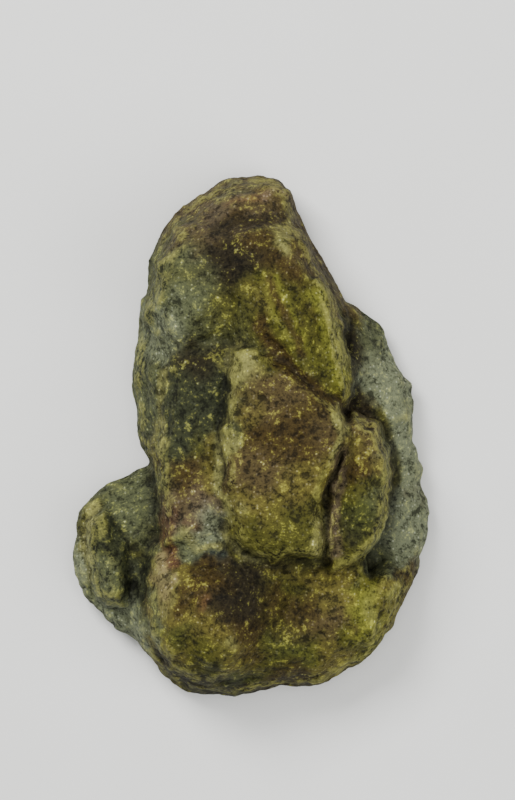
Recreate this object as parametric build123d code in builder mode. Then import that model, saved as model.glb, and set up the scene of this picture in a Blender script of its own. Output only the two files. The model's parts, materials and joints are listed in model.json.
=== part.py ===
"""A rock that hides a key: a hollow cast-resin boulder, closed underneath by a moulded base
plate that carries a key box and a sliding door.

Millimetres. The rock lies on its base. +Z is up, +Y points to the narrow end, +X is to the
right as seen from above, and the origin is on the ground in the middle of the outline.
"""

import math
import os
from typing import NamedTuple

from build123d import *

# ------------------------------------------------------------------ driving dimensions

# The rock's outer surface. Each lump of stone is a block whose sides are struck off in bands.
WAIST = 8.0  # height of the widest outline above the ground
TUCK = 2.5  # how far the side draws in below the waist
SWELL = 0.30  # how much one side's bands differ from the next, as a share
SWELL_STEP = 2.4  # phase from one side to the next, in radians

# Wall and hollow
WALL = 5.0  # least thickness of the casting

# Heights of what is stacked in the base
DOOR_BOTTOM = 0.8
DOOR_THICK = 1.6
DOOR_TOP = DOOR_BOTTOM + DOOR_THICK
DOOR_LIFT = 0.2  # clearance between the door and the plate above it
PLATE_BOTTOM = DOOR_TOP + DOOR_LIFT
PLATE_THICK = 2.6
PLATE_TOP = PLATE_BOTTOM + PLATE_THICK
GASKET_THICK = 1.0
LEDGE = PLATE_TOP + GASKET_THICK

# Base plate
PLATE_GAP = 0.4  # between the plate's edge and the casting
PLATE_CORNER = 3.0
LEDGE_WIDTH = 4.0
GASKET_GAP = 0.3  # between the gasket's edges and the casting

# Key box, and the opening under it
BOX_CENTRE = (3.0, -11.0)
BOX_WIDE = 34.0
BOX_LONG = 60.0
BOX_WALL = 1.8
BOX_HEIGHT = 16.0
BOX_CORNER = 3.0
BOX_ROOF_ROUND = 1.5
FLANGE_WIDTH = 3.4
FLANGE_THICK = 1.8
PAD_THICK = 2.0
PAD_MARGIN = 1.0

# Stakes that hold the box's flange on the plate
STAKE_R = 1.2
STAKE_HOLE_R = 1.3
STAKE_HEAD_R = 1.6
STAKE_HEAD_THICK = 0.8
STAKE_INSET = 1.7  # from the box's wall
STAKES_LONG = 3  # along each long side
STAKES_SHORT = 2  # along each short side
STAKE_PITCH = 24.0

# Sliding door and its rails
DOOR_TRAVEL = 58.0
DOOR_SIDE_LAP = 2.6  # how far the door covers past the opening's long sides
DOOR_INNER_LAP = 3.0  # how far it covers past the opening's inner end
DOOR_OUTER_LAP = 8.0  # how far it covers past the outer end
DOOR_CORNER = 2.0
TONGUE_OUT = 1.4
TONGUE_THICK = 0.8
RAIL_GAP = 0.3
RAIL_WEB = 1.5
LIP_THICK = 1.0
RAIL_PAST_DOOR = 2.0  # how far the rails run past the closed door's outer end
STOP_OUT = 19.4  # from the door's middle line to a stop
STOP_WIDTH = 1.6
STOP_LENGTH = 2.0
STOP_HEIGHT = 0.9
STOP_INSET = 0.5  # from the door's inner end
GROOVE_DEPTH = 1.4
GROOVE_SIDE = 0.4  # clearance each side of a stop
GROOVE_END = 0.2  # clearance past a stop at each end of the travel
GRIP_RIDGES = 7
GRIP_PITCH = 2.2
GRIP_WIDTH = 26.0
GRIP_HEIGHT = 0.5
GRIP_THICK = 1.0
GRIP_INSET = 3.0  # from the door's outer end
ARROW_DEPTH = 0.4
ARROW_LENGTH = 14.0
ARROW_WIDTH = 9.0
EXIT_SIDE = 1.2  # clearance beside and above the door where it leaves the rock
EXIT_OVER = 0.5
EXIT_LENGTH = 30.0

# Screws and the anchors cast into the bosses
SCREW_SPOTS = [(-1.0, 54.0), (30.4, 13.0), (33.0, -35.0), (-34.5, -34.0), (-16.5, 38.0)]
BOSS_R = 4.8
ANCHOR_R = 2.8
ANCHOR_LENGTH = 9.0
ANCHOR_BORE_R = 1.6
ANCHOR_RINGS = 3
ANCHOR_GROOVE = 0.35
SCREW_R = 1.5
SCREW_LENGTH = 12.0
SCREW_POINT = 2.0
SCREW_HEAD_R = 2.9
SCREW_HEAD_THICK = 1.5
SCREW_HOLE_R = 1.8
SCREW_SINK = 0.2  # how deep the head sits below the plate's face
CROSS_LENGTH = 3.2
CROSS_WIDTH = 0.8
CROSS_DEPTH = 1.0

# ------------------------------------------------------------------ worked out from them

STANDING = (Align.CENTER, Align.CENTER, Align.MIN)
BOX_X, BOX_Y = BOX_CENTRE
DOOR_HALF = BOX_WIDE / 2 + DOOR_SIDE_LAP
DOOR_INNER = BOX_Y + BOX_LONG / 2 + DOOR_INNER_LAP
DOOR_OUTER = BOX_Y - BOX_LONG / 2 - DOOR_OUTER_LAP
LIP_BOTTOM = DOOR_TOP - TONGUE_THICK - RAIL_GAP - LIP_THICK
WEB_HALF = DOOR_HALF + TONGUE_OUT + RAIL_GAP  # from the middle line to a rail's web
RAIL_HALF = WEB_HALF + RAIL_WEB
RAIL_INNER = DOOR_INNER + RAIL_GAP + RAIL_WEB
RAIL_OUTER = DOOR_OUTER - RAIL_PAST_DOOR
STOP_INNER = DOOR_INNER - STOP_INSET
RING_LONG = ANCHOR_LENGTH / (2 * ANCHOR_RINGS - 1)
SCREW_FACE = PLATE_BOTTOM + SCREW_SINK  # height of the screw heads' faces

# Base plate's outline, all round, about 8.5 mm inside the rock's own
PLATE_OUTLINE = [
    (-9, 60), (7, 60), (14, 47), (20, 36), (33, 24), (38, 0), (41, -27), (36, -43),
    (28, -56), (10, -62), (-13, -62), (-27, -52), (-39, -41), (-40, -27), (-24, -9),
    (-23.5, 12), (-22.5, 36), (-17, 54),
]


class Profile(NamedTuple):
    """How a lump's side climbs: (distance in from the outline, share of the height)."""

    steps: tuple


WORN = Profile(((0, 0), (1.6, 0.38), (5.0, 0.70), (11.0, 0.91), (22.0, 1.0)))
RIDGED = Profile(((0, 0), (1.6, 0.45), (4.5, 0.80), (9.0, 1.0)))
SLABBED = Profile(((0, 0), (0.8, 0.50), (2.6, 0.86), (6.0, 1.0)))
KNUCKLED = Profile(((0, 0), (1.0, 0.45), (2.8, 0.80), (5.5, 1.0)))
SLOPED = Profile(((0, 0), (2.0, 0.30), (6.0, 0.58), (13.0, 0.84), (24.0, 1.0)))


class Lump(NamedTuple):
    """One lump of the rock. Its corners run clockwise as seen from above."""

    corners: list
    foot: float  # height at which its side starts to draw in
    top: float
    lean: tuple  # rise of its top per millimetre along X and along Y
    profile: Profile


LUMPS = {
    # the lumps that make the rock's outline
    "body": Lump(
        [(-6, 72), (4, 73), (11, 71), (16, 60), (21.5, 48.5), (27.5, 38), (31, 4.5),
         (23.5, -23.5), (-22.5, -23.5), (-32, -1), (-33, 13), (-31.5, 31), (-28.5, 48.5),
         (-25, 58), (-17, 65)],
        WAIST, 33, (0.05, -0.10), WORN),
    "upper_flank": Lump(
        [(20, 42), (31, 35), (38, 29.5), (42, 20.5), (45.5, 10), (46, 3), (40, -4),
         (8, -4)],
        WAIST, 26, (-0.22, -0.02), SLOPED),
    "lower_flank": Lump(
        [(8, 8), (41, 9), (45.5, 5), (48.5, -12.5), (50, -25.5), (49.5, -32.5),
         (46, -40.5), (22, -46), (8, -30)],
        WAIST, 23, (-0.12, 0.04), SLOPED),
    "toe": Lump(
        [(46, -35), (44.5, -44), (39.5, -55), (33, -62), (22, -68.5), (8, -71.5),
         (-6, -72.6), (-13, -57), (4, -45), (22, -38), (38, -33.5)],
        WAIST, 34, (-0.14, 0.10), WORN),
    "heel": Lump(
        [(11, -60), (3, -72), (-7, -73), (-17, -71), (-24.5, -67.5), (-31.5, -60),
         (-35.5, -48.5), (-34, -34.5), (-24, -25), (0, -24), (11, -37.5)],
        WAIST, 32, (0.08, 0.10), WORN),
    "ear": Lump(
        [(-14, -23.5), (-17, -51.5), (-30.5, -60.5), (-38, -55), (-45, -46.5),
         (-49.5, -39.5), (-50, -33.5), (-48.5, -24), (-44.5, -17.5), (-38, -12), (-28, -7)],
        WAIST, 21, (0.10, 0.0), SLOPED),
    "saddle": Lump(
        [(-24, -28), (28, -27), (34, -38), (31, -50), (14, -58), (-14, -58), (-26, -46)],
        12, 31, (0.0, 0.0), SLABBED),
    # the lumps that stand on them
    "core": Lump(
        [(-17, 57), (-5, 63), (9, 62), (19, 46), (26, 25), (30, 0), (27, -36), (9, -50),
         (-22, -45), (-27, -22), (-27.5, -8), (-26, 26)],
        20, 36, (0.06, -0.04), WORN),
    "crown": Lump(
        [(-17, 60), (-6, 69.5), (4, 70.5), (10, 68.5), (14, 60), (13, 47), (-15, 46)],
        20, 35, (0.0, -0.22), WORN),
    "shoulder": Lump(
        [(-27, 47.5), (-21, 58), (-13, 61), (0, 57), (0, 29), (-14.5, 23.5),
         (-25.5, 23), (-29.5, 33)],
        24, 39.5, (0.22, -0.05), RIDGED),
    "ridge": Lump(
        [(-6, 59), (3, 62), (13.5, 59), (19, 48.5), (23.5, 35.5), (27, 23.5), (28.5, 11.5),
         (24, 5), (10, 7), (-5, 22), (-11, 38), (-11.5, 52)],
        28, 43.5, (0.05, -0.12), RIDGED),
    "inner_rib": Lump(
        [(-3, 43), (2, 46), (6, 42), (17, 22), (16, 17), (11, 17), (-2, 36)],
        36, 46, (0.05, -0.10), KNUCKLED),
    "outer_rib": Lump(
        [(15, 44), (19, 46), (22.5, 36), (27, 22), (28, 12.5), (25, 8), (22, 14),
         (16.5, 33)],
        30, 45.5, (0.05, -0.10), KNUCKLED),
    "panel": Lump(
        [(-24.5, 22), (-14.5, 27), (-3, 25.5), (-3, -29), (-14.5, -33), (-23.5, -31),
         (-26, -4)],
        26, 36.5, (0.16, -0.05), KNUCKLED),
    "rim": Lump(
        [(-9.5, 3), (-4, 6), (0, -2), (0, -29), (-5.5, -30), (-9.8, -18), (-10.4, -6)],
        34, 41.5, (0.05, 0.0), KNUCKLED),
    "slab": Lump(
        [(-5.5, 24.5), (3, 27), (17, 15), (25, 9.5), (27, 1), (19.5, -18), (-3, -20),
         (-8, -14), (-8, -1)],
        36, 47.5, (0.0, 0.06), SLABBED),
    "slab_foot": Lump(
        [(-8, -8), (4, -4), (18, -8), (20.8, -20), (21.2, -29), (19.5, -32.8),
         (6.5, -34.8), (-3, -31), (-7, -22)],
        36, 46.1, (0.0, 0.06), SLABBED),
    "knob": Lump(
        [(28, 7.5), (35.5, 4.5), (38.5, -2.5), (39.5, -12.5), (38.5, -21.5), (35, -30),
         (28, -37), (20, -40), (20, -32), (24, 0)],
        22, 40, (-0.20, 0.05), SLABBED),
    "boulder": Lump(
        [(-29, -34), (-16, -30), (4, -32), (10.5, -43), (8.5, -56), (0, -66), (-12, -69),
         (-23, -65.5), (-30, -52)],
        22, 43, (-0.14, 0.10), WORN),
    "ear_knuckle": Lump(
        [(-44.5, -24), (-40, -20.5), (-34.5, -29), (-33, -41.5), (-34.5, -48),
         (-40.5, -48), (-44, -43), (-45.5, -34.5)],
        15, 26, (0.10, 0.05), KNUCKLED),
}


# Lumps that are big enough for the hollow to follow
HOLLOWED = [
    "body", "upper_flank", "lower_flank", "toe", "heel", "ear", "saddle", "core", "ridge",
    "slab", "slab_foot", "boulder",
]


# ------------------------------------------------------------------ the rock's lumps


def lowest_band(lump, wall):
    """The bands below a lump's foot: the undercut of the outline, or a plain upright side."""
    if lump.foot == WAIST:
        return [(Vector(-TUCK, WAIST), Vector(0, 0))]
    if wall > 0:
        return [(Vector(0, lump.foot), Vector(0, 0))]
    return []


def side_planes(lump, wall):
    """The planes that strike off a lump's sides and top, each moved inwards by wall."""
    planes = []
    rise = lump.top - lump.foot
    for number, start in enumerate(lump.corners):
        end = lump.corners[(number + 1) % len(lump.corners)]
        edge = (Vector(*end) - Vector(*start)).normalized()
        inward = Vector(edge.Y, -edge.X)  # the corners run clockwise
        swell = 1 + SWELL * math.sin(SWELL_STEP * number)
        bands = lowest_band(lump, wall)
        for (low_in, low_up), (high_in, high_up) in zip(
            lump.profile.steps, lump.profile.steps[1:]
        ):
            climb = Vector((high_in - low_in) * swell, (high_up - low_up) * rise)
            bands.append((climb, Vector(low_in * swell, low_up * rise)))
        for climb, base in bands:
            outward = (Vector(0, 0, climb.X) - inward * climb.Y).normalized()
            point = Vector(*start) + inward * base.X + Vector(0, 0, lump.foot + base.Y)
            planes.append(Plane(origin=point - outward * wall, z_dir=outward))
    middle = sum((Vector(*corner) for corner in lump.corners), Vector()) / len(lump.corners)
    upward = Vector(-lump.lean[0], -lump.lean[1], 1).normalized()
    summit = middle + Vector(0, 0, lump.top)
    planes.append(Plane(origin=summit - upward * wall, z_dir=upward))
    return planes


def carve(lump, wall=0.0):
    """A lump's block with its sides and top struck off."""
    with BuildPart() as block:
        with BuildSketch(Plane.XY):
            with BuildLine():
                Polyline(*lump.corners, close=True)
            make_face()
        extrude(amount=2 * lump.top)
        for plane in side_planes(lump, wall):
            split(bisect_by=plane, keep=Keep.BOTTOM)
    return block.part


# ------------------------------------------------------------------ shared shapes


def base_outline(height, grow=0.0):
    """The base plate's outline at a height, offset outwards by grow."""
    with BuildSketch(Plane.XY.offset(height)) as outline:
        with BuildLine():
            Polyline(*PLATE_OUTLINE, close=True)
        make_face()
        fillet(outline.vertices(), radius=PLATE_CORNER)
        if grow:
            offset(amount=grow)
    return outline.sketch


def box_outline(height, grow=0.0):
    """The key box's inside outline at a height, offset outwards by grow."""
    with BuildSketch(Plane.XY.offset(height)) as outline:
        with Locations(BOX_CENTRE):
            RectangleRounded(BOX_WIDE + 2 * grow, BOX_LONG + 2 * grow, BOX_CORNER + max(grow, 0))
    return outline.sketch


def door_outline(height, half):
    """A closed door's outline at a height, this wide to each side of its middle line."""
    with BuildSketch(Plane.XY.offset(height)) as outline:
        with Locations((BOX_X, (DOOR_INNER + DOOR_OUTER) / 2)):
            RectangleRounded(2 * half, DOOR_INNER - DOOR_OUTER, DOOR_CORNER)
    return outline.sketch


def at_height(spots, height):
    """Locations of these spots at a height."""
    return Locations(*[(x, y, height) for x, y in spots])


def stake_spots():
    """Where the stakes stand, all round the key box."""
    side = BOX_WIDE / 2 + BOX_WALL + STAKE_INSET
    end = BOX_LONG / 2 + BOX_WALL + STAKE_INSET
    along = [STAKE_PITCH * (n - (STAKES_LONG - 1) / 2) for n in range(STAKES_LONG)]
    across = [STAKE_PITCH * (n - (STAKES_SHORT - 1) / 2) for n in range(STAKES_SHORT)]
    spots = [(BOX_X + way * side, BOX_Y + y) for way in (-1, 1) for y in along]
    spots += [(BOX_X + x, BOX_Y + way * end) for way in (-1, 1) for x in across]
    return spots


# ------------------------------------------------------------------ screws and anchors

# A cast-in anchor's outside, with rings that key it into the resin
with BuildPart() as anchor_bodies:
    with at_height(SCREW_SPOTS, LEDGE):
        Cylinder(ANCHOR_R - ANCHOR_GROOVE, ANCHOR_LENGTH, align=STANDING)
    for number in range(ANCHOR_RINGS):
        with at_height(SCREW_SPOTS, LEDGE + 2 * number * RING_LONG):
            Cylinder(ANCHOR_R, RING_LONG, align=STANDING)

with BuildPart() as screw_anchors:
    add(anchor_bodies.part)
    with at_height(SCREW_SPOTS, LEDGE):
        Cylinder(ANCHOR_BORE_R, ANCHOR_LENGTH, align=STANDING, mode=Mode.SUBTRACT)

# Countersunk screws, their heads' faces down, with a cross recess
with BuildPart() as screw:
    with BuildSketch(Plane.XZ):
        with BuildLine():
            Polyline(
                (0, 0), (SCREW_HEAD_R, 0), (SCREW_R, SCREW_HEAD_THICK),
                (SCREW_R, SCREW_LENGTH - SCREW_POINT), (0, SCREW_LENGTH), close=True)
        make_face()
    revolve(axis=Axis.Z)
    with BuildSketch(Plane.XY):
        Rectangle(CROSS_LENGTH, CROSS_WIDTH)
        Rectangle(CROSS_WIDTH, CROSS_LENGTH)
    extrude(amount=CROSS_DEPTH, mode=Mode.SUBTRACT)

with BuildPart() as base_screws:
    with at_height(SCREW_SPOTS, SCREW_FACE):
        add(screw.part)

# ------------------------------------------------------------------ rock shell

with BuildPart() as hollow:
    for name in HOLLOWED:
        add(carve(LUMPS[name], WALL))
    with BuildSketch(Plane.XY.offset(LEDGE)):
        with BuildLine():
            Polyline(*PLATE_OUTLINE, close=True)
        make_face()
        offset(amount=-LEDGE_WIDTH, kind=Kind.INTERSECTION)
    extrude(amount=LUMPS["slab"].top, mode=Mode.INTERSECT)
    with at_height(SCREW_SPOTS, 0):
        Cylinder(BOSS_R, LUMPS["slab"].top, align=STANDING, mode=Mode.SUBTRACT)

with BuildPart() as rock_shell:
    for lump in LUMPS.values():
        add(carve(lump))
    add(hollow.part, mode=Mode.SUBTRACT)
    add(base_outline(0, PLATE_GAP))
    extrude(amount=LEDGE, mode=Mode.SUBTRACT)
    add(anchor_bodies.part, mode=Mode.SUBTRACT)
    with BuildSketch(Plane.XY):
        with Locations((BOX_X, RAIL_OUTER)):
            Rectangle(
                2 * (DOOR_HALF + TONGUE_OUT + EXIT_SIDE), EXIT_LENGTH,
                align=(Align.CENTER, Align.MAX))
    extrude(amount=DOOR_TOP + EXIT_OVER, mode=Mode.SUBTRACT)

# ------------------------------------------------------------------ base plate

with BuildPart() as base_plate:
    add(base_outline(PLATE_BOTTOM))
    extrude(amount=PLATE_THICK)
    # the rails: a web each side and across the inner end, with a lip that turns in
    with BuildSketch(Plane.XY.offset(LIP_BOTTOM)):
        with Locations((BOX_X, RAIL_INNER)):
            Rectangle(2 * RAIL_HALF, RAIL_INNER - RAIL_OUTER, align=(Align.CENTER, Align.MAX))
        with Locations((BOX_X, RAIL_INNER - RAIL_WEB)):
            Rectangle(
                2 * (DOOR_HALF + RAIL_GAP), RAIL_INNER - RAIL_OUTER,
                align=(Align.CENTER, Align.MAX), mode=Mode.SUBTRACT)
    extrude(amount=LIP_THICK)
    with BuildSketch(Plane.XY.offset(LIP_BOTTOM + LIP_THICK)):
        with Locations((BOX_X, RAIL_INNER)):
            Rectangle(2 * RAIL_HALF, RAIL_INNER - RAIL_OUTER, align=(Align.CENTER, Align.MAX))
        with Locations((BOX_X, RAIL_INNER - RAIL_WEB)):
            Rectangle(
                2 * WEB_HALF, RAIL_INNER - RAIL_OUTER,
                align=(Align.CENTER, Align.MAX), mode=Mode.SUBTRACT)
    extrude(amount=PLATE_BOTTOM - LIP_BOTTOM - LIP_THICK)
    # the opening, and the blind grooves that the door's stops run in
    add(box_outline(PLATE_BOTTOM))
    extrude(amount=PLATE_THICK, mode=Mode.SUBTRACT)
    groove_wide = STOP_WIDTH + 2 * GROOVE_SIDE
    groove_long = DOOR_TRAVEL + STOP_LENGTH + 2 * GROOVE_END
    with BuildSketch(Plane.XY.offset(PLATE_BOTTOM)):
        with Locations(*[(BOX_X + way * STOP_OUT, STOP_INNER + GROOVE_END) for way in (-1, 1)]):
            Rectangle(groove_wide, groove_long, align=(Align.CENTER, Align.MAX))
    extrude(amount=GROOVE_DEPTH, mode=Mode.SUBTRACT)
    # countersunk screw holes
    with at_height(SCREW_SPOTS, PLATE_BOTTOM):
        Cylinder(SCREW_HOLE_R, PLATE_THICK, align=STANDING, mode=Mode.SUBTRACT)
        Cone(
            SCREW_HEAD_R + SCREW_SINK, SCREW_HOLE_R, SCREW_HEAD_THICK + SCREW_SINK,
            align=STANDING, mode=Mode.SUBTRACT)
    # the stakes, with the heads that were melted over the box's flange
    with at_height(stake_spots(), PLATE_TOP):
        Cylinder(STAKE_R, FLANGE_THICK, align=STANDING)
    with at_height(stake_spots(), PLATE_TOP + FLANGE_THICK):
        Cylinder(STAKE_HEAD_R, STAKE_HEAD_THICK, align=STANDING)

# ------------------------------------------------------------------ base gasket

with BuildPart() as base_gasket:
    add(base_outline(PLATE_TOP, -GASKET_GAP))
    extrude(amount=GASKET_THICK)
    add(base_outline(PLATE_TOP, GASKET_GAP - LEDGE_WIDTH))
    extrude(amount=GASKET_THICK, mode=Mode.SUBTRACT)
    with at_height(SCREW_SPOTS, PLATE_TOP):
        Cylinder(BOSS_R - GASKET_GAP, GASKET_THICK, align=STANDING)
        Cylinder(SCREW_HOLE_R, GASKET_THICK, align=STANDING, mode=Mode.SUBTRACT)

# ------------------------------------------------------------------ key box and its pad

with BuildPart() as key_box:
    add(box_outline(PLATE_TOP, BOX_WALL))
    extrude(amount=BOX_HEIGHT)
    fillet(key_box.edges().group_by(Axis.Z)[-1], radius=BOX_ROOF_ROUND)
    add(box_outline(PLATE_TOP, BOX_WALL + FLANGE_WIDTH))
    extrude(amount=FLANGE_THICK)
    add(box_outline(PLATE_TOP))
    extrude(amount=BOX_HEIGHT - BOX_WALL, mode=Mode.SUBTRACT)
    with at_height(stake_spots(), PLATE_TOP):
        Cylinder(STAKE_HOLE_R, FLANGE_THICK, align=STANDING, mode=Mode.SUBTRACT)

with BuildPart() as key_pad:
    add(box_outline(PLATE_TOP + BOX_HEIGHT - BOX_WALL - PAD_THICK, -PAD_MARGIN))
    extrude(amount=PAD_THICK)

# ------------------------------------------------------------------ sliding door

with BuildPart() as sliding_door:
    add(door_outline(DOOR_BOTTOM, DOOR_HALF))
    extrude(amount=DOOR_THICK)
    add(door_outline(DOOR_TOP - TONGUE_THICK, DOOR_HALF + TONGUE_OUT))
    extrude(amount=TONGUE_THICK)
    # the stops that end its travel
    with BuildSketch(Plane.XY.offset(DOOR_TOP)):
        with Locations(*[(BOX_X + way * STOP_OUT, STOP_INNER) for way in (-1, 1)]):
            Rectangle(STOP_WIDTH, STOP_LENGTH, align=(Align.CENTER, Align.MAX))
    extrude(amount=STOP_HEIGHT)
    # ridges to pull it by
    first_ridge = DOOR_OUTER + GRIP_INSET
    with BuildSketch(Plane.XY.offset(DOOR_BOTTOM - GRIP_HEIGHT)):
        with Locations(*[(BOX_X, first_ridge + GRIP_PITCH * n) for n in range(GRIP_RIDGES)]):
            RectangleRounded(GRIP_WIDTH, GRIP_THICK, GRIP_THICK * 0.45)
    extrude(amount=GRIP_HEIGHT)
    # an arrow sunk in its face, which points the way it slides
    arrow_tip = first_ridge + GRIP_PITCH * (GRIP_RIDGES + 1)
    with BuildSketch(Plane.XY.offset(DOOR_BOTTOM)):
        with BuildLine():
            Polyline(
                (BOX_X, arrow_tip), (BOX_X + ARROW_WIDTH / 2, arrow_tip + ARROW_LENGTH / 2),
                (BOX_X + ARROW_WIDTH / 5, arrow_tip + ARROW_LENGTH / 2),
                (BOX_X + ARROW_WIDTH / 5, arrow_tip + ARROW_LENGTH),
                (BOX_X - ARROW_WIDTH / 5, arrow_tip + ARROW_LENGTH),
                (BOX_X - ARROW_WIDTH / 5, arrow_tip + ARROW_LENGTH / 2),
                (BOX_X - ARROW_WIDTH / 2, arrow_tip + ARROW_LENGTH / 2), close=True)
        make_face()
    extrude(amount=ARROW_DEPTH, mode=Mode.SUBTRACT)

# ------------------------------------------------------------------ labels and files

PIECES = {
    "rock_shell": rock_shell,
    "base_plate": base_plate,
    "base_gasket": base_gasket,
    "key_box": key_box,
    "key_pad": key_pad,
    "sliding_door": sliding_door,
    "base_screws": base_screws,
    "screw_anchors": screw_anchors,
}

os.makedirs("parts", exist_ok=True)
for label, piece in PIECES.items():
    piece.part.label = label
    export_step(piece.part, f"parts/{label}.step")
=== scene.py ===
"""Looks of a rock that hides a key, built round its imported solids.

The rock is cast in mineral-filled resin and painted. Under it are a moulded base plate with a
sliding door, a key box with a foam pad, a foam gasket, and screws in nylon anchors.

Lengths in this file are millimetres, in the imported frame: +Z up, +Y towards the rock's narrow
end, +X to the right as seen from above, and the origin on the ground. Meshes are in metres.
"""

from __future__ import annotations

import json
import logging
import math
from dataclasses import dataclass, field
from enum import Enum, IntEnum

import bmesh
import bpy
import numpy as np
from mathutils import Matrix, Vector

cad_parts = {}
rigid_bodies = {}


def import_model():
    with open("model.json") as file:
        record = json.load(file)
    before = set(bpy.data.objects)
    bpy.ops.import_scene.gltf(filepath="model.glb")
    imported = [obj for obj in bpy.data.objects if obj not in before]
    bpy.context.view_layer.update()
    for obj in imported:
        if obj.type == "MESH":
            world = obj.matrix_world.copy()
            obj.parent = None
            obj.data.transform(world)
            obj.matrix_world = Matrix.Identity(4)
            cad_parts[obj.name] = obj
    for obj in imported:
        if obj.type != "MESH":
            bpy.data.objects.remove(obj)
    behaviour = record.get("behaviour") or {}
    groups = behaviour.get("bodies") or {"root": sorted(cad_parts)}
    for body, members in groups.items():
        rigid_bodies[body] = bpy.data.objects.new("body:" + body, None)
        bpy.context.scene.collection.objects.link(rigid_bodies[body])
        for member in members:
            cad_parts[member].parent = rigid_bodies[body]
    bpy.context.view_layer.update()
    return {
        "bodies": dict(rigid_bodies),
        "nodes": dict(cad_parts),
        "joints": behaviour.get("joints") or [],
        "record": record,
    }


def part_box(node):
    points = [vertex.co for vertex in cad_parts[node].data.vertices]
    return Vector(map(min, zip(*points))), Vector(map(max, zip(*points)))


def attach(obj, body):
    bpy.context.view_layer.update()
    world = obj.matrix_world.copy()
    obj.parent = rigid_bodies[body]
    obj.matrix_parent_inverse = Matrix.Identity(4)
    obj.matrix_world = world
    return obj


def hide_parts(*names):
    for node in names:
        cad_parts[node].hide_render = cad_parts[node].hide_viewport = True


LOG = logging.getLogger("key_rock")
MM = 0.001
SCREW_SPOTS = ((-1.0, 54.0), (30.4, 13.0), (33.0, -35.0), (-34.5, -34.0), (-16.5, 38.0))
UNSEEN = -1e3  # height of a grid point that nothing lies over
TINY = 1e-6  # shares and areas less than this apart count as equal
HASH_FACTORS = (73856093, 19349663, 83492791)  # large odd numbers, one for each axis
HASH_SPREAD = 1274126177
COLOUR_MIX = {"out": 2, "data_type": "RGBA"}  # a Mix node of colours: 0 is the share, then 6, 7
EASED = {"interpolation_type": "SMOOTHSTEP"}  # a Map Range node that eases both its ends


class Seed(IntEnum):
    """Where each random field starts, so that every run gives the same rock."""

    SHAPE = 11
    RAGGED = 5
    LUMPS = 23
    GRAINS = 31
    PITS = 47
    WASH_X = 61
    WASH_Y = 62
    TONE = 71
    CLOUDS = 72
    RECESS = 9


# ---------------------------------------------------------------- shared tools


def linear(hex_colour: str, alpha: float = 1.0) -> tuple[float, float, float, float]:
    """Turns an sRGB colour into the linear values that shaders take.

    Args:
        hex_colour: the colour as "#rrggbb".
        alpha: the fourth value.

    Returns:
        Red, green, blue and alpha.
    """
    parts = [int(hex_colour[n : n + 2], 16) / 255 for n in (1, 3, 5)]
    red, green, blue = (p / 12.92 if p <= 0.04045 else ((p + 0.055) / 1.055) ** 2.4 for p in parts)
    return red, green, blue, alpha


def per_mm(period: float) -> float:
    """The scale of a pattern on Object coordinates, in metres, that repeats every period."""
    return 1 / (period * MM)


def add_node(
    tree: bpy.types.NodeTree, kind: str, inputs: dict | None = None, out: int | str = 0, **settings
) -> bpy.types.NodeSocket | None:
    """Adds a shader node, sets its properties and fills its inputs.

    Args:
        tree: the material's node tree.
        kind: the node's type, after "ShaderNode".
        inputs: input name or number to a value, or to the socket that feeds it.
        out: the name or number of the output to hand back.
        settings: the node's own properties.

    Returns:
        The output socket, if the node has any.
    """
    made = tree.nodes.new("ShaderNode" + kind)
    for name, value in settings.items():
        setattr(made, name, value)
    for name, value in (inputs or {}).items():
        if isinstance(value, bpy.types.NodeSocket):
            tree.links.new(value, made.inputs[name])
        else:
            made.inputs[name].default_value = value
    return made.outputs[out] if made.outputs else None


def new_material(name: str) -> tuple[bpy.types.Material, bpy.types.NodeTree]:
    """Makes a node material with no nodes.

    Args:
        name: the material's name.

    Returns:
        The material and its tree.
    """
    material = bpy.data.materials.new(name)
    material.use_nodes = True
    material.node_tree.nodes.clear()
    return material, material.node_tree


def mesh_piece(
    name: str, points: np.ndarray, faces: list, finish: bpy.types.Material
) -> bpy.types.Object:
    """Makes a smooth-shaded object from points in millimetres.

    Args:
        name: the piece's name.
        points: one row for each vertex.
        faces: lists of vertex numbers, outwards by the right-hand rule.
        finish: its material.

    Returns:
        The object, at the origin.
    """
    mesh = bpy.data.meshes.new(name)
    mesh.from_pydata((points * MM).tolist(), [], faces)
    mesh.update()
    mesh.shade_smooth()
    mesh.materials.append(finish)
    piece = bpy.data.objects.new(name, mesh)
    bpy.context.scene.collection.objects.link(piece)
    return piece


def band(first: np.ndarray, second: np.ndarray) -> list:
    """Joins closed rings of vertices by quads: first, second, the second's next, the first's.

    Args:
        first: a ring of vertex numbers, or several, one to a row.
        second: the ring beside each of them.

    Returns:
        The faces, as lists of vertex numbers.
    """
    corners = [first, second, np.roll(second, -1, axis=-1), np.roll(first, -1, axis=-1)]
    return np.stack(corners, axis=-1).reshape(-1, 4).tolist()


def fan(tip: int, ring: np.ndarray) -> list:
    """Closes a ring of vertices by triangles: the tip, a vertex of the ring and the next.

    Args:
        tip: the number of the vertex that they share.
        ring: the ring's vertex numbers. Reversed, they turn the faces round.

    Returns:
        The faces, as lists of vertex numbers.
    """
    return np.stack([np.full(len(ring), tip), ring, np.roll(ring, -1)], axis=1).tolist()


def vertex_places(mesh: bpy.types.Mesh) -> np.ndarray:
    """Reads where a mesh's vertices are.

    Args:
        mesh: the mesh, in metres.

    Returns:
        X, Y and Z in millimetres, a row for each vertex.
    """
    values = np.zeros(len(mesh.vertices) * 3, np.float32)
    mesh.vertices.foreach_get("co", values)
    return values.reshape(-1, 3).astype(float) / MM


def vertex_normals(mesh: bpy.types.Mesh) -> np.ndarray:
    """Reads which way a mesh's surface faces at its vertices.

    Args:
        mesh: the mesh.

    Returns:
        A unit normal for each vertex, one to a row.
    """
    values = np.zeros(len(mesh.vertices) * 3, np.float32)
    mesh.vertex_normals.foreach_get("vector", values)
    return values.reshape(-1, 3).astype(float)


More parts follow.
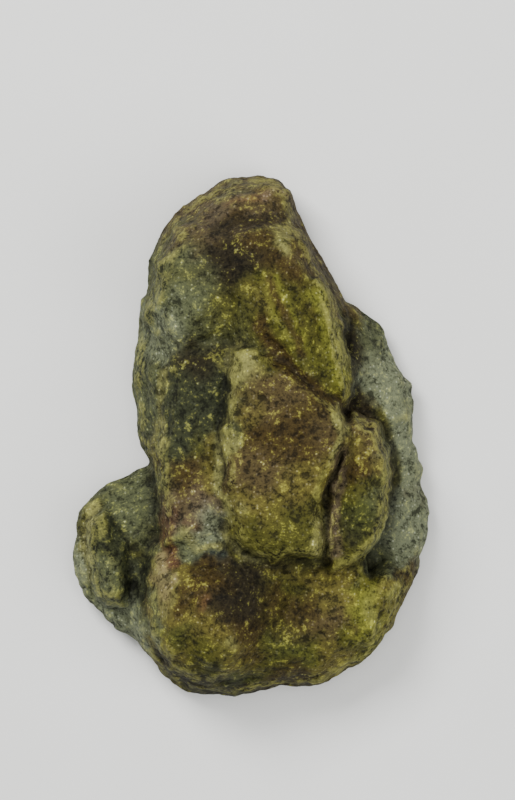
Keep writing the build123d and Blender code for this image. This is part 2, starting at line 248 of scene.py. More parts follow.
def apply_modifiers(piece: bpy.types.Object) -> None:
    """Puts what a piece's modifiers make into its mesh.

    Args:
        piece: the piece, whose modifiers are then gone.
    """
    evaluated = piece.evaluated_get(bpy.context.evaluated_depsgraph_get())
    made = bpy.data.meshes.new_from_object(evaluated)
    piece.modifiers.clear()
    piece.data = made


def subtract(piece: bpy.types.Object, tool: bpy.types.Object) -> None:
    """Cuts a closed tool out of a closed piece, and removes the tool.

    Args:
        piece: the piece that is cut.
        tool: the shape that is taken away from it.
    """
    cut = piece.modifiers.new("cut", "BOOLEAN")
    cut.operation, cut.solver, cut.object = "DIFFERENCE", "MANIFOLD", tool
    apply_modifiers(piece)
    mesh = tool.data
    bpy.data.objects.remove(tool)
    bpy.data.meshes.remove(mesh)


@dataclass(frozen=True)
class Noise:
    """Random fields over space that are the same on every run."""

    seed: int
    slopes: int = 256  # a power of two
    gain: float = 1.6  # brings the smooth field to about -1 to 1
    apart: float = 31.7  # between the layers' places, so that their lattices don't line up
    stray: float = 0.45  # how far a grain lies from its cell's middle

    def _table(self) -> np.ndarray:
        """Random slopes of unit length."""
        slopes = np.random.default_rng(self.seed).normal(size=(self.slopes, 3))
        return slopes / np.linalg.norm(slopes, axis=1, keepdims=True)

    def _pick(self, cells: np.ndarray) -> np.ndarray:
        """Scrambles each lattice corner's three numbers into the number of a table row.

        Args:
            cells: whole numbers, a row for each corner.

        Returns:
            The table's row for each corner.
        """
        x, y, z = (cells * np.array(HASH_FACTORS)).T
        mixed = x ^ y ^ z
        mixed = (mixed ^ (mixed >> 13)) * HASH_SPREAD + self.seed
        return (mixed ^ (mixed >> 16)) & (self.slopes - 1)

    def smooth(self, points: np.ndarray, period: float) -> np.ndarray:
        """Gradient noise: every lattice corner has a random slope, and the eight slopes round a
        point are blended by a quintic fade.

        Args:
            points: one row for each point.
            period: the lattice's spacing.

        Returns:
            A value for each point, about -1 to 1.
        """
        table = self._table()
        place = points / period
        cell = np.floor(place).astype(np.int64)
        local = place - cell
        fade = local**3 * (local * (6 * local - 15) + 10)
        total = np.zeros(len(points))
        for corner in np.ndindex(2, 2, 2):
            offset = np.array(corner)
            share = np.prod(np.where(offset, fade, 1 - fade), axis=1)
            slope = table[self._pick(cell + offset)]
            total += share * np.einsum("ij,ij->i", slope, local - offset)
        return total * self.gain

    def layered(self, points: np.ndarray, period: float, octaves: int) -> np.ndarray:
        """Adds up smooth fields, each with half the last one's period and height.

        Args:
            points: one row for each point.
            period: the first field's.
            octaves: how many fields.

        Returns:
            A value for each point.
        """
        return sum(
            self.smooth(points + self.apart * n, period / 2**n) / 2**n for n in range(octaves)
        )

    def grains(self, points: np.ndarray, period: float) -> np.ndarray:
        """Distance to the nearest of points scattered one to a cell, as a share of the period.

        Args:
            points: one row for each point.
            period: the cells' size.

        Returns:
            0 at a grain's middle, and about 0.8 between grains.
        """
        table = self._table()
        place = points / period
        cell = np.floor(place).astype(np.int64)
        nearest = np.full(len(points), np.inf)
        for corner in np.ndindex(3, 3, 3):
            beside = cell + np.array(corner) - 1
            middle = beside + 0.5 + self.stray * table[self._pick(beside)]
            nearest = np.minimum(nearest, np.linalg.norm(place - middle, axis=1))
        return nearest


def smooth_step(values: np.ndarray, low: float, high: float) -> np.ndarray:
    """Climbs from 0 at low to 1 at high, by the cubic 3s^2 - 2s^3 of the share s of the way.

    Args:
        values: what is compared with low and high.
        low: where the climb starts. It may be above high, for a fall.
        high: where it ends.

    Returns:
        A number from 0 to 1 for each value.
    """
    share = np.clip((values - low) / (high - low), 0, 1)
    return share * share * (3 - 2 * share)


def polyline_distance(x: np.ndarray, y: np.ndarray, route: tuple) -> np.ndarray:
    """How far points on the plan are from the nearest of a route's straight runs.

    Args:
        x: the points' X.
        y: the points' Y.
        route: the X and Y of each end of a run.

    Returns:
        A distance for each point.
    """
    nearest = np.full(x.shape, np.inf)
    for (ax, ay), (bx, by) in zip(route, route[1:]):
        along = ((x - ax) * (bx - ax) + (y - ay) * (by - ay)) / ((bx - ax) ** 2 + (by - ay) ** 2)
        along = np.clip(along, 0, 1)
        nearest = np.minimum(
            nearest, np.hypot(x - ax - along * (bx - ax), y - ay - along * (by - ay))
        )
    return nearest


# ---------------------------------------------------------------- the rock's relief


@dataclass
class Relief:
    """Height of the rock's upper surface over a fine grid on the plan.

    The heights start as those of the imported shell, seen from above. They are then warped,
    softened and carved.
    """

    step: float = 0.25  # between grid points
    reach: tuple[float, float] = (58.0, 80.0)  # of the grid, on each side of the origin
    margin: float = 1.001  # grid squares that a reading keeps off the grid's far sides
    graze: float = 1e-9  # area share by which a point may lie outside a triangle
    apart: float = 500.0  # between the places that the two shifts of a warp read
    waist: float = 8.0  # height of the widest outline
    fall: float = 6.0  # slope that carries the heights on past the outline
    apron: float = 8.0  # how far out they fall
    heights: np.ndarray = field(init=False)

    def axes(self) -> tuple[np.ndarray, np.ndarray]:
        """The grid's places along X and along Y.

        Returns:
            The X of each column and the Y of each row.
        """
        x = np.arange(-self.reach[0], self.reach[0] + self.step / 2, self.step)
        y = np.arange(-self.reach[1], self.reach[1] + self.step / 2, self.step)
        return x, y

    def plan(self) -> tuple[np.ndarray, np.ndarray]:
        """X and Y of every grid point, a row of the array for each Y."""
        return np.meshgrid(*self.axes())

    def flat(self) -> np.ndarray:
        """X, Y and 0 of every grid point, one point to a row."""
        x, y = self.plan()
        return np.stack([x.ravel(), y.ravel(), np.zeros(x.size)], axis=1)

    def drop(self, shell: bpy.types.Object) -> None:
        """Takes the height of a mesh over each grid point.

        Every triangle that faces up lists the grid points in its bounding rectangle. Those
        inside it, by their three area shares, get the height that the shares give.

        Args:
            shell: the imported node.
        """
        mesh = shell.data
        mesh.calc_loop_triangles()
        number = np.zeros(len(mesh.loop_triangles) * 3, np.int32)
        mesh.loop_triangles.foreach_get("vertices", number)
        corners = vertex_places(mesh)[number.reshape(-1, 3)]
        sides = corners[:, 1:, :2] - corners[:, :1, :2]
        turn = np.cross(sides[:, 0], sides[:, 1])  # twice the area on the plan
        corners, turn = corners[turn > TINY], turn[turn > TINY]
        flat = corners[:, :, :2]
        origin = -np.array(self.reach)
        low = np.ceil((flat.min(1) - origin) / self.step).astype(int)
        high = np.floor((flat.max(1) - origin) / self.step).astype(int)
        across, up = np.maximum(high - low + 1, 0).T
        count = across * up
        owner = np.repeat(np.arange(len(corners)), count)
        rank = np.arange(count.sum()) - np.repeat(np.cumsum(count) - count, count)
        column = low[owner, 0] + rank % np.maximum(across, 1)[owner]
        row = low[owner, 1] + rank // np.maximum(across, 1)[owner]
        place = origin + self.step * np.stack([column, row], axis=1)
        shares = [
            np.cross(flat[owner, a] - place, flat[owner, b] - place) / turn[owner]
            for a, b in ((1, 2), (2, 0), (0, 1))
        ]
        inside = np.minimum.reduce(shares) >= -self.graze
        height = sum(shares[n] * corners[owner, n, 2] for n in range(3))
        x, y = self.axes()
        self.heights = np.full((len(y), len(x)), UNSEEN)
        np.maximum.at(self.heights, (row[inside], column[inside]), height[inside])
        self.heights[self.heights < self.waist] = UNSEEN
        self._carry_on()

    def _carry_on(self) -> None:
        """Lets the heights fall away steeply past the outline, ring by ring of grid points.

        The rings grow along X and Y only, so there are twice as many as the way straight out
        takes.
        """
        for _ in range(int(2 * self.apron / self.step)):
            padded = np.pad(self.heights, 1, constant_values=UNSEEN)
            beside = np.maximum.reduce(
                [padded[1:-1, :-2], padded[1:-1, 2:], padded[:-2, 1:-1], padded[2:, 1:-1]]
            )
            lower = np.minimum(beside, self.waist) - self.fall * self.step
            lower = np.maximum(lower, UNSEEN)
            self.heights = np.where(self.heights == UNSEEN, lower, self.heights)
        self.heights = np.maximum(self.heights, self.waist - self.apron * self.fall)

    def at(self, x: np.ndarray, y: np.ndarray, layer: np.ndarray | None = None) -> np.ndarray:
        """Reads a layer between grid points, by each neighbour's share of the grid square.

        Args:
            x: the places' X.
            y: the places' Y.
            layer: a value for each grid point. The heights, if none is given.

        Returns:
            The layer's value at each place.
        """
        layer = self.heights if layer is None else layer
        column = np.clip((x + self.reach[0]) / self.step, 0, layer.shape[1] - self.margin)
        row = np.clip((y + self.reach[1]) / self.step, 0, layer.shape[0] - self.margin)
        c, r = column.astype(int), row.astype(int)
        u, v = column - c, row - r
        lower = layer[r, c] * (1 - u) + layer[r, c + 1] * u
        upper = layer[r + 1, c] * (1 - u) + layer[r + 1, c + 1] * u
        return lower * (1 - v) + upper * v

    def soften(self, radius: float, layer: np.ndarray | None = None) -> np.ndarray:
        """Averages a layer by a bell curve, first along Y and then along X.

        Args:
            radius: the bell curve's.
            layer: a value for each grid point. The heights, if none is given.

        Returns:
            The averaged layer.
        """
        layer = self.heights if layer is None else layer
        reach = int(math.ceil(3 * radius / self.step))
        bell = np.exp(-0.5 * (np.arange(-reach, reach + 1) * self.step / radius) ** 2)
        bell /= bell.sum()
        for _ in range(2):
            padded = np.pad(layer, ((reach, reach), (0, 0)), mode="edge")
            layer = sum(w * padded[n : n + layer.shape[0]] for n, w in enumerate(bell)).T
        return layer

    def warp(self, noise: Noise, amount: float, period: float) -> None:
        """Shifts the heights about on the plan, so that straight edges wander.

        Args:
            noise: the field that shifts them.
            amount: about how far.
            period: the length over which the shift changes.
        """
        x, y = self.plan()
        flat = self.flat()
        shift_x = noise.layered(flat, period, 3).reshape(x.shape)
        shift_y = noise.layered(flat + self.apart, period, 3).reshape(x.shape)
        self.heights = self.at(x + amount * shift_x, y + amount * shift_y)


@dataclass(frozen=True)
class Crack:
    """A crevice cut along a route on the plan, or part filled where its depth is negative."""

    route: tuple
    width: float
    depth: float
    vary: float = 0.5  # how much the depth differs along the route
    period: float = 7.0  # the length over which it does
    about: float = 2.5  # radius of the average that a filling doesn't rise over

    def cut(self, relief: Relief, noise: Noise) -> None:
        """Lowers the relief by a bell curve across the route, whose depth varies along it.

        A filling raises only what lies below the relief's own average nearby.

        Args:
            relief: what is carved.
            noise: the field by which the depth varies.
        """
        x, y = relief.plan()
        depth = self.depth * (
            1 + self.vary * noise.smooth(relief.flat(), self.period).reshape(x.shape)
        )
        if self.depth < 0:
            below = relief.soften(self.about) - relief.heights
            depth *= smooth_step(below, 0.0, self.about)
        away = polyline_distance(x, y, self.route) / self.width
        relief.heights -= depth * np.exp(-(away**2))


CRACKS = (
    # the groove between the slab and the knob is part filled, so its depth is negative
    Crack(((26.4, 2), (25.4, -6), (22.9, -15), (22.3, -24), (22.6, -34)), 1.8, -5.6),
    # between the ridge and the slab
    Crack(((3.1, 28.3), (10.9, 19.9), (19.3, 11), (26.3, 6.5)), 0.9, 1.2),
    # down the slab's left edge
    Crack(((-7, 26), (-7.8, 12), (-10.2, -4), (-9.6, -20), (-5, -31.5)), 0.8, 1),
    # under the slab's lower edge
    Crack(((-5, -31.5), (4.1, -35.9), (13.7, -36.6), (23, -35)), 1.1, 1.4),
    # over the panel
    Crack(((-23.5, 21), (-21, 25), (-16, 27.8), (-11, 26), (-6.4, 27)), 0.8, 0.5),
    # between the boulder and the toe
    Crack(((13.7, -38), (11, -46), (9.6, -55)), 1.8, 1.1),
    # over the toe
    Crack(((13.7, -42.1), (24.9, -39.8), (41.7, -35)), 1.2, 1.3),
    # round the ear's knuckle
    Crack(((-41, -18.5), (-38.4, -24.9), (-36.4, -34.7), (-31.5, -43.1), (-26, -49.3)), 1, 1.1),
    Crack(((-45.5, -30), (-44.8, -43), (-38.1, -49.6), (-31.5, -52)), 0.7, 1),
)


@dataclass(frozen=True)
class Beds:
    """Worn layers of the stone, which run in arcs round a pivot, within part of the plan."""

    middle: tuple[float, float]
    radius: float
    pivot: tuple[float, float]
    period: float  # from bed to bed
    depth: float
    stretch: float = 6.0  # how much longer than wide the noise is

    def height(self, x: np.ndarray, y: np.ndarray, noise: Noise) -> np.ndarray:
        """Noise that is stretched along the arcs and fades out at the radius.

        Args:
            x: the places' X.
            y: the places' Y.
            noise: the field.

        Returns:
            How much higher the beds make each place.
        """
        across = np.hypot(x - self.pivot[0], y - self.pivot[1])
        reach = math.dist(self.middle, self.pivot)
        along = np.arctan2(y - self.pivot[1], x - self.pivot[0]) * reach
        flat = np.stack([across, along / self.stretch, np.zeros_like(across)], axis=-1)
        beds = noise.layered(flat.reshape(-1, 3), self.period, 3).reshape(across.shape)
        away = np.hypot(x - self.middle[0], y - self.middle[1]) / self.radius
        return self.depth * beds * np.exp(-(away**4))


BEDS = (
    Beds((3, 67), 13, (4, 44), 3.2, 0.75),  # crown
    Beds((14, 36), 19, (870, 560), 4.2, 1.25),  # ridge
    Beds((-22, 42), 13, (900, 60), 5, 0.55),  # shoulder
    Beds((-14, 0), 17, (900, 80), 4, 0.50),  # panel
    Beds((27, -55), 17, (0, -500), 5, 0.45),  # toe
)


@dataclass(frozen=True)
class Soft:
    """A place where one lump has worn into the next: its middle and radius on the plan."""

    x: float
    y: float
    radius: float


SOFT = (
    Soft(-10, 57, 8), Soft(2, 62, 7), Soft(14, 61, 5), Soft(-9, 45, 8),
    Soft(-7, 34, 6), Soft(-26, 56, 6), Soft(8, -48, 7), Soft(12, -60, 9),
    Soft(4, -40, 5), Soft(22, -44, 8), Soft(-28, -52, 7), Soft(-30, 5, 8),
    Soft(-22, -38, 7), Soft(36, 22, 8), Soft(28, 18, 4), Soft(1, -64, 9),
    Soft(-21, 24, 5), Soft(-15, 27, 4), Soft(6, -57, 6), Soft(41, -38, 5),
)


# ---------------------------------------------------------------- the rock's paint


class Tint(Enum):
    """Washes of paint on the cast stone. Some, where they are put, also stand for painted shade,
    painted highlight or a painted haze of light.
    """

    CHAR = "#1e190c"
    UMBER = "#34290f"
    BARK = "#41371f"
    RUST = "#4a3322"
    EMBER = "#5a4226"
    CLAY = "#63543e"
    TAUPE = "#4d4230"
    OLIVE = "#3c3b13"
    OCHRE = "#514a20"
    MOSS = "#5c5d1e"
    FERN = "#363a15"
    LICHEN = "#716f3e"
    SAND = "#7a6e48"
    SLATE = "#292c1b"
    PETROL = "#222a26"
    ASH = "#454931"
    PALE_ASH = "#636850"


@dataclass(frozen=True)
class Patch:
    """A soft-edged patch of one wash: its middle and radius on the plan, and its strength."""

    x: float
    y: float
    radius: float
    tint: Tint
    strength: float = 1.0

    def away(self, x: np.ndarray, y: np.ndarray) -> np.ndarray:
        """Distance from its middle, in radii."""
        return np.hypot(x - self.x, y - self.y) / self.radius


@dataclass(frozen=True)
class Streak:
    """A soft-edged streak of one wash along a route, with its half width and its strength."""

    route: tuple
    width: float
    tint: Tint
    strength: float = 1.0

    def away(self, x: np.ndarray, y: np.ndarray) -> np.ndarray:
        """Distance from its route, in half widths."""
        return polyline_distance(x, y, self.route) / self.width


STREAKS = (
    # pale streaks along the slab's rims
    Streak(((-7.6, -1), (-9.2, -8), (-8.4, -15)), 1.2, Tint.LICHEN, 1.8),
    Streak(((-7, -18), (-5.6, -26.3), (-1.7, -32), (4, -33.6)), 1, Tint.LICHEN, 1.5),
    Streak(((-5, 23.5), (-5, 15.7), (-5.6, 6)), 1.2, Tint.LICHEN, 1.4),
    Streak(((18.6, -22), (20, -30)), 1.5, Tint.LICHEN, 1.4),
    Streak(((24.6, 5.5), (25.6, 0), (23.2, -5.3)), 1.1, Tint.LICHEN, 1.3),
    # the ridge's ribs, pale partly as painted highlight, and the valleys between them, dark partly
    # as painted shade
    Streak(((2.5, 44), (6.5, 35), (11.5, 25.5)), 1.2, Tint.MOSS, 0.9),
    Streak(((7, 43), (11, 34), (15.5, 24.5), (19.5, 17.5)), 0.8, Tint.MOSS, 1.3),
    Streak(((5, 42), (9.5, 32.5), (14.5, 23)), 1.1, Tint.UMBER, 1.9),
    Streak(((17.5, 38), (20.8, 30), (23.4, 22), (24.2, 14)), 2.4, Tint.MOSS, 2),
    Streak(((19, 36), (22, 29), (24.8, 20)), 0.9, Tint.LICHEN, 2.2),
    Streak(((12, 38.5), (15.5, 31), (17.5, 23), (20.5, 13.5)), 1.8, Tint.OLIVE, 1.5),
    Streak(((2, 31), (6.5, 24), (13, 15.5), (20.5, 9.5)), 1.5, Tint.UMBER, 1.6),
    Streak(((26.8, 30), (28.8, 18.5), (28.8, 8.5)), 1.4, Tint.CHAR, 1.4),
    Streak(((-10, 57.5), (-3, 58.5), (3.5, 60), (9.5, 62)), 1.5, Tint.CHAR, 1.6),
    Streak(((7.5, 56), (10, 51.5)), 1.8, Tint.LICHEN, 0.8),
    # the crown's pale beds
    Streak(((3, 66.2), (7, 67.6), (11, 67)), 0.8, Tint.CLAY, 1.9),
    Streak(((-6.5, 63.5), (-1, 65.3), (4, 66.5)), 0.9, Tint.EMBER, 1),
    # the panel's rim and foot
    Streak(((-24.4, 18), (-24.6, 8), (-25, -2)), 1, Tint.LICHEN, 1.1),
    Streak(((-18.5, -26), (-14.5, -30.2), (-9, -30.5)), 1.2, Tint.LICHEN, 1.4),
    Streak(((-11, -1), (-12.3, -8), (-11, -15)), 1.3, Tint.OCHRE, 1.3),
    # the ear's rim, and the creases inside it
    Streak(((-44.5, -21), (-46.2, -30), (-44.6, -39.5)), 1.2, Tint.LICHEN, 1.4),
    Streak(((-42.6, -22), (-43.2, -34)), 0.9, Tint.SLATE, 1.2),
    Streak(((-39, -22), (-37.2, -31), (-35, -38)), 1.2, Tint.SLATE, 1.2),
    # round the knob's outer wall
    Streak(((35, 5.5), (39, -2), (39.5, -12), (36.5, -22), (30, -32)), 1.6, Tint.OLIVE, 1.8),
    # the groove beside the slab
    Streak(((25.6, -6), (22.9, -15), (22.3, -24), (22.6, -32)), 1.6, Tint.TAUPE, 1.6),
    # the boulder's rusty streak
    Streak(((-24.5, -33), (-25.5, -40), (-23.5, -47)), 1.6, Tint.SAND, 1),
    Streak(((-21.5, -20), (-23, -28), (-22, -34)), 1.6, Tint.RUST, 1.1),
    # round the foot of the rock: dark wash beside the toe, painted shade along the bottom edge at
    # -Y, and ochre under the slab's lower edge
    Streak(((45.4, -38.5), (41.8, -46), (38, -54)), 2, Tint.UMBER, 1.3),
    Streak(((-22.7, -62.5), (-10, -70.6), (2.5, -72), (20, -69)), 2.4, Tint.CHAR, 1.3),
    Streak(((6, -36.5), (15, -38.5), (26, -38.5)), 2.2, Tint.OCHRE, 1.7),
)


PATCHES = tuple(Patch(*row) for row in (
    # crown
    (-8, 63, 7, Tint.TAUPE, 1.1), (-5, 67, 4, Tint.ASH), (6, 62.5, 4, Tint.BARK, 1.2),
    (12.5, 64, 5, Tint.BARK, 1.2), (3, 71, 5, Tint.BARK, 1.5), (-17, 57, 6, Tint.BARK, 1.1),
    (-10, 69, 6, Tint.UMBER, 1.1),
    # shoulder: the grey patches are partly a painted haze of reflected light
    (-20, 48, 8, Tint.ASH), (-26, 38, 9, Tint.ASH), (-14, 36, 8, Tint.ASH),
    (-19, 44, 5, Tint.OLIVE, 0.9), (-23, 31, 5, Tint.PALE_ASH, 1.3), (-30, 40, 4, Tint.OLIVE),
    (-27, 49, 5, Tint.FERN, 0.8),
    # ridge
    (-5.5, 47, 8, Tint.CHAR, 1.7), (-2, 56, 5, Tint.UMBER, 1.2), (6, 48, 4, Tint.UMBER, 1.1),
    (16, 58, 5, Tint.UMBER, 1.2), (16, 50, 5, Tint.BARK, 1.1), (-7, 37, 6, Tint.OLIVE, 1.3),
    (1, 40, 5, Tint.OLIVE, 1.2), (3.5, 38.5, 4, Tint.OCHRE, 0.9),
    (11.5, 37, 4, Tint.OLIVE, 1.3), (14, 43, 5, Tint.UMBER, 1.1),
    (15.5, 32, 3.5, Tint.UMBER, 1.2), (11, 29, 4, Tint.OLIVE, 1.2),
    (18, 22, 4, Tint.OLIVE, 1.3), (22, 27, 5, Tint.OLIVE), (24, 36, 4, Tint.BARK),
    (27, 24, 4, Tint.CHAR), (24, 12, 5, Tint.UMBER, 1.3),
    # panel and the side below it
    (-15.5, 22, 6, Tint.CHAR, 1.2), (-14, 10, 9, Tint.SLATE, 1.6),
    (-17, -1, 6, Tint.SLATE, 1.1), (-12.5, -5, 3.5, Tint.OLIVE),
    (-24.5, 8, 3, Tint.LICHEN, 0.5), (-20.5, -12, 6, Tint.UMBER, 1.4),
    (-14, -18, 6, Tint.TAUPE, 1.1), (-14, -24.5, 4.5, Tint.PALE_ASH, 1.6),
    (-20, -24, 4, Tint.RUST, 0.8), (-14, -28, 4, Tint.ASH, 1.3),
    # slab
    (-3, 17, 4, Tint.LICHEN, 0.9), (-1, 6, 4, Tint.OCHRE), (3.5, 11, 5, Tint.BARK, 1.2),
    (9, 9, 5, Tint.BARK, 1.2), (13, 1, 7, Tint.UMBER, 1.6), (3, 1, 5, Tint.UMBER, 1.2),
    (19, 1, 5, Tint.BARK, 1.3), (4, -9, 6, Tint.BARK, 1.2), (13, -13, 5, Tint.OCHRE, 1.2),
    (-4, -10, 4, Tint.BARK, 1.1), (3, -20, 6, Tint.OCHRE), (9, -27, 7, Tint.OLIVE, 1.5),
    (18, -13, 5, Tint.OCHRE, 1.3), (16, -20, 4, Tint.OLIVE), (0, -28, 4, Tint.OLIVE, 1.2),
    (-8.5, -2, 3, Tint.LICHEN, 0.9), (-5.5, -21, 3, Tint.LICHEN, 0.8),
    (19, -29, 2.5, Tint.LICHEN),
    # knob and groove
    (31.5, 1.5, 4, Tint.BARK, 1.3), (29, -4, 2.5, Tint.OCHRE, 1.2),
    (31.5, -9, 4.5, Tint.UMBER, 1.4), (35.5, -7, 3, Tint.OCHRE),
    (36.5, -15, 4, Tint.OLIVE, 1.3), (29.5, -16, 4, Tint.OLIVE, 1.3),
    (31, -24, 6, Tint.FERN, 1.3), (29, -26, 4.5, Tint.CHAR, 1.3), (26, -32, 5, Tint.OLIVE, 1.3),
    # boulder
    (10, -40, 6, Tint.OLIVE, 1.3), (-2, -44, 8, Tint.CHAR, 2.2), (-2, -53, 6, Tint.UMBER, 1.6),
    (-11, -40, 5, Tint.UMBER, 1.7), (-12.5, -46.5, 2.4, Tint.EMBER, 1.2),
    (-18, -39, 3.5, Tint.OCHRE), (-16.5, -46, 3.5, Tint.UMBER, 1.5),
    (-22.5, -46, 4, Tint.OCHRE, 1.3), (-22, -46, 2.5, Tint.LICHEN, 1.7),
    (-23.5, -42, 2, Tint.SAND, 1.2), (-20, -50, 4, Tint.OCHRE, 1.2),
    (-27, -50, 4, Tint.ASH, 1.1), (-10, -32.5, 2.5, Tint.PETROL, 1.4),
    (-12, -55, 5, Tint.OCHRE, 1.1), (-19, -55, 3, Tint.FERN, 1.1), (-4, -66, 4, Tint.FERN, 1.1),
    (-8, -57.5, 2, Tint.LICHEN, 1.2), (-14, -62, 5, Tint.OLIVE, 1.4),
    (-4, -60, 4, Tint.OCHRE, 1.1), (-22, -58, 4, Tint.OCHRE), (-24, -55, 2.5, Tint.MOSS, 0.9),
    (-8, -67, 5, Tint.SLATE),
    # toe
    (12.5, -50.5, 6, Tint.UMBER, 2.2), (12, -55, 6, Tint.FERN, 1.8),
    (16, -60, 4, Tint.MOSS, 0.8), (21, -52, 5, Tint.BARK, 1.3), (6, -62, 5, Tint.OLIVE, 1.2),
    (24, -44, 4, Tint.OCHRE, 1.3), (33, -49, 6, Tint.MOSS, 1.9),
    (33.5, -49, 3.5, Tint.LICHEN, 1.6), (37, -43.5, 4, Tint.OCHRE, 1.5),
    (41.5, -41, 3.5, Tint.UMBER, 1.6), (22, -62, 6, Tint.OCHRE, 0.9),
    (30, -58, 5, Tint.OLIVE, 1.2), (10, -68, 6, Tint.UMBER),
    # ear
    (-40.5, -27, 4, Tint.SLATE, 1.2), (-39, -41, 5, Tint.ASH, 1.3),
    (-42, -34, 3, Tint.FERN, 0.9), (-47.5, -36, 5, Tint.PALE_ASH, 1.2),
    (-37, -52, 6, Tint.PALE_ASH, 1.1), (-31, -15, 8, Tint.ASH, 1.3), (-29, -40, 5, Tint.SLATE),
    # flanks: the pale grey patches are partly a painted haze of reflected light
    (43, 18, 9, Tint.PALE_ASH, 1.2), (46.5, -4, 7.5, Tint.PALE_ASH, 1.3),
    (45.5, -24, 9, Tint.PALE_ASH, 1.2), (50, 8, 4, Tint.OLIVE), (51, -16, 4, Tint.TAUPE),
    (38, 30, 5, Tint.ASH, 1.2), (36, -35, 4, Tint.ASH, 1.1), (-31, 10, 7, Tint.ASH, 1.2),
))


@dataclass(frozen=True)
class CastStone:
    """Cast stone-filled resin, washed with thin paints and dry-brushed.

    The grit in the cast gives a broken, matt surface. The washes pool dark between the grains,
    and the dry brush leaves pale yellow-green on them, so the colour is speckled from one grain
    to the next.
    """

    grit: float = 1.3  # spacing of the coarse grains
    sand: float = 0.6  # the real sand is finer; this is as fine as the view shows
    fleck: float = 0.9  # spacing of the pale mineral flecks
    weights: tuple[float, float] = (2.8, 2.4)  # of the grit and the sand in the speckle
    level: float = 2.52  # brings the speckle's middle to about 0
    pools: tuple[float, float] = (0.25, -0.8)  # speckle where dark pools start and are full
    grains: tuple[float, float] = (0.35, 1.25)  # the same for dry-brushed grains
    rubbed: tuple[float, float] = (-0.7, 0.6)  # the same for worn edges
    deep: tuple[float, float] = (0.25, 1.0)  # a pool's value and saturation
    pale: tuple[float, float] = (2.0, 1.12)  # a grain's
    bright: tuple[float, float] = (2.5, 0.72)  # a fleck's
    dark: tuple[float, float] = (0.42, 0.9)  # a crevice's: dark wash, with painted shade
    brushed: float = 0.4  # the dry brush's share of a grain's colour
    scarce: float = 0.8  # share of the cells that have no fleck
    fleck_size: tuple[float, float] = (0.45, 0.25)  # radii where it starts and is full, in cells
    fleck_share: float = 0.5
    dull: tuple[float, float] = (0.95, 0.6)  # roughness between the grains and on them
    bumps: tuple[float, float] = (0.9, 0.35)  # heights of the grit and the sand
    bump_strength: float = 0.6
    ior: float = 1.5
    gloss: float = 0.12  # the broken surface loses most of the paint's gloss
    brush: str = "#9c9b48"
    edge: str = "#838140"
    cast: str = "#4a443a"

    def material(self) -> bpy.types.Material:
        """Builds the material. It reads the paint, tone, hollow, worn and bare attributes.

        Returns:
            The material.
        """
        material, tree = new_material("cast_stone")
        place = add_node(tree, "TexCoord", out="Object")
        paint = add_node(tree, "Attribute", out="Color", attribute_name="paint")
        tone, hollow, worn, bare = (
            add_node(tree, "Attribute", out="Fac", attribute_name=name)
            for name in ("tone", "hollow", "worn", "bare")
        )
        grit, sand = (
            add_node(tree, "TexNoise", {
                "Vector": place, "Scale": per_mm(period), "Detail": 3.0, "Roughness": 0.6,
            })
            for period in (self.grit, self.sand)
        )
        # how light the speckle is: grains stand pale, and gaps between them lie dark
        speckle = tone
        for grain, weight in zip((grit, sand), self.weights):
            speckle = add_node(
                tree, "Math", {0: grain, 1: weight, 2: speckle}, operation="MULTIPLY_ADD"
            )
        speckle = add_node(tree, "Math", {0: speckle, 1: self.level}, operation="SUBTRACT")
        pools, grains, rubbed = (
            add_node(
                tree, "MapRange", {"Value": speckle, "From Min": start, "From Max": full}, **EASED
            )
            for start, full in (self.pools, self.grains, self.rubbed)
        )
        deep, pale = (
            add_node(tree, "HueSaturation", {"Color": paint, "Value": value, "Saturation": vivid})
            for value, vivid in (self.deep, self.pale)
        )
        pale = add_node(
            tree, "Mix", {0: self.brushed, 6: pale, 7: linear(self.brush)}, **COLOUR_MIX
        )
        colour = add_node(tree, "Mix", {0: pools, 6: paint, 7: deep}, **COLOUR_MIX)
        colour = add_node(tree, "Mix", {0: grains, 6: colour, 7: pale}, **COLOUR_MIX)
        # a pale fleck in some of the cells
        cells = add_node(tree, "TexVoronoi", {"Vector": place, "Scale": per_mm(self.fleck)})
        chosen = add_node(tree, "SeparateColor", {"Color": cells.node.outputs["Color"]})
        chosen = add_node(tree, "Math", {0: chosen, 1: self.scarce}, operation="GREATER_THAN")
        fleck = add_node(
            tree, "MapRange",
            {"Value": cells, "From Min": self.fleck_size[0], "From Max": self.fleck_size[1],
             "To Max": self.fleck_share},
            **EASED,
        )
        fleck = add_node(tree, "Math", {0: fleck, 1: chosen}, operation="MULTIPLY")
        value, vivid = self.bright
        bright = add_node(
            tree, "HueSaturation", {"Color": colour, "Value": value, "Saturation": vivid}
        )
        colour = add_node(tree, "Mix", {0: fleck, 6: colour, 7: bright}, **COLOUR_MIX)
        # crevices and dips hold dark wash and painted shade, edges are worn pale, and the
        # unpainted cast shows underneath
        value, vivid = self.dark
        dark = add_node(
            tree, "HueSaturation", {"Color": colour, "Value": value, "Saturation": vivid}
        )
        rubbed = add_node(tree, "Math", {0: rubbed, 1: worn}, operation="MULTIPLY")
        for share, over in (
            (hollow, dark), (rubbed, linear(self.edge)), (bare, linear(self.cast))
        ):
            colour = add_node(tree, "Mix", {0: share, 6: colour, 7: over}, **COLOUR_MIX)
        rough = add_node(
            tree, "MapRange", {"Value": grit, "To Min": self.dull[0], "To Max": self.dull[1]}
        )
        bumps = {}
        for grain, height in zip((grit, sand), self.bumps):
            bumps |= {"Height": grain, "Distance": height * MM, "Strength": self.bump_strength}
            bumps["Normal"] = add_node(tree, "Bump", bumps)
        shader = add_node(
            tree, "BsdfPrincipled",
            {"Base Color": colour, "Roughness": rough, "IOR": self.ior,
             "Specular IOR Level": self.gloss, "Normal": bumps["Normal"]},
        )
        add_node(tree, "OutputMaterial", {"Surface": shader})
        return material


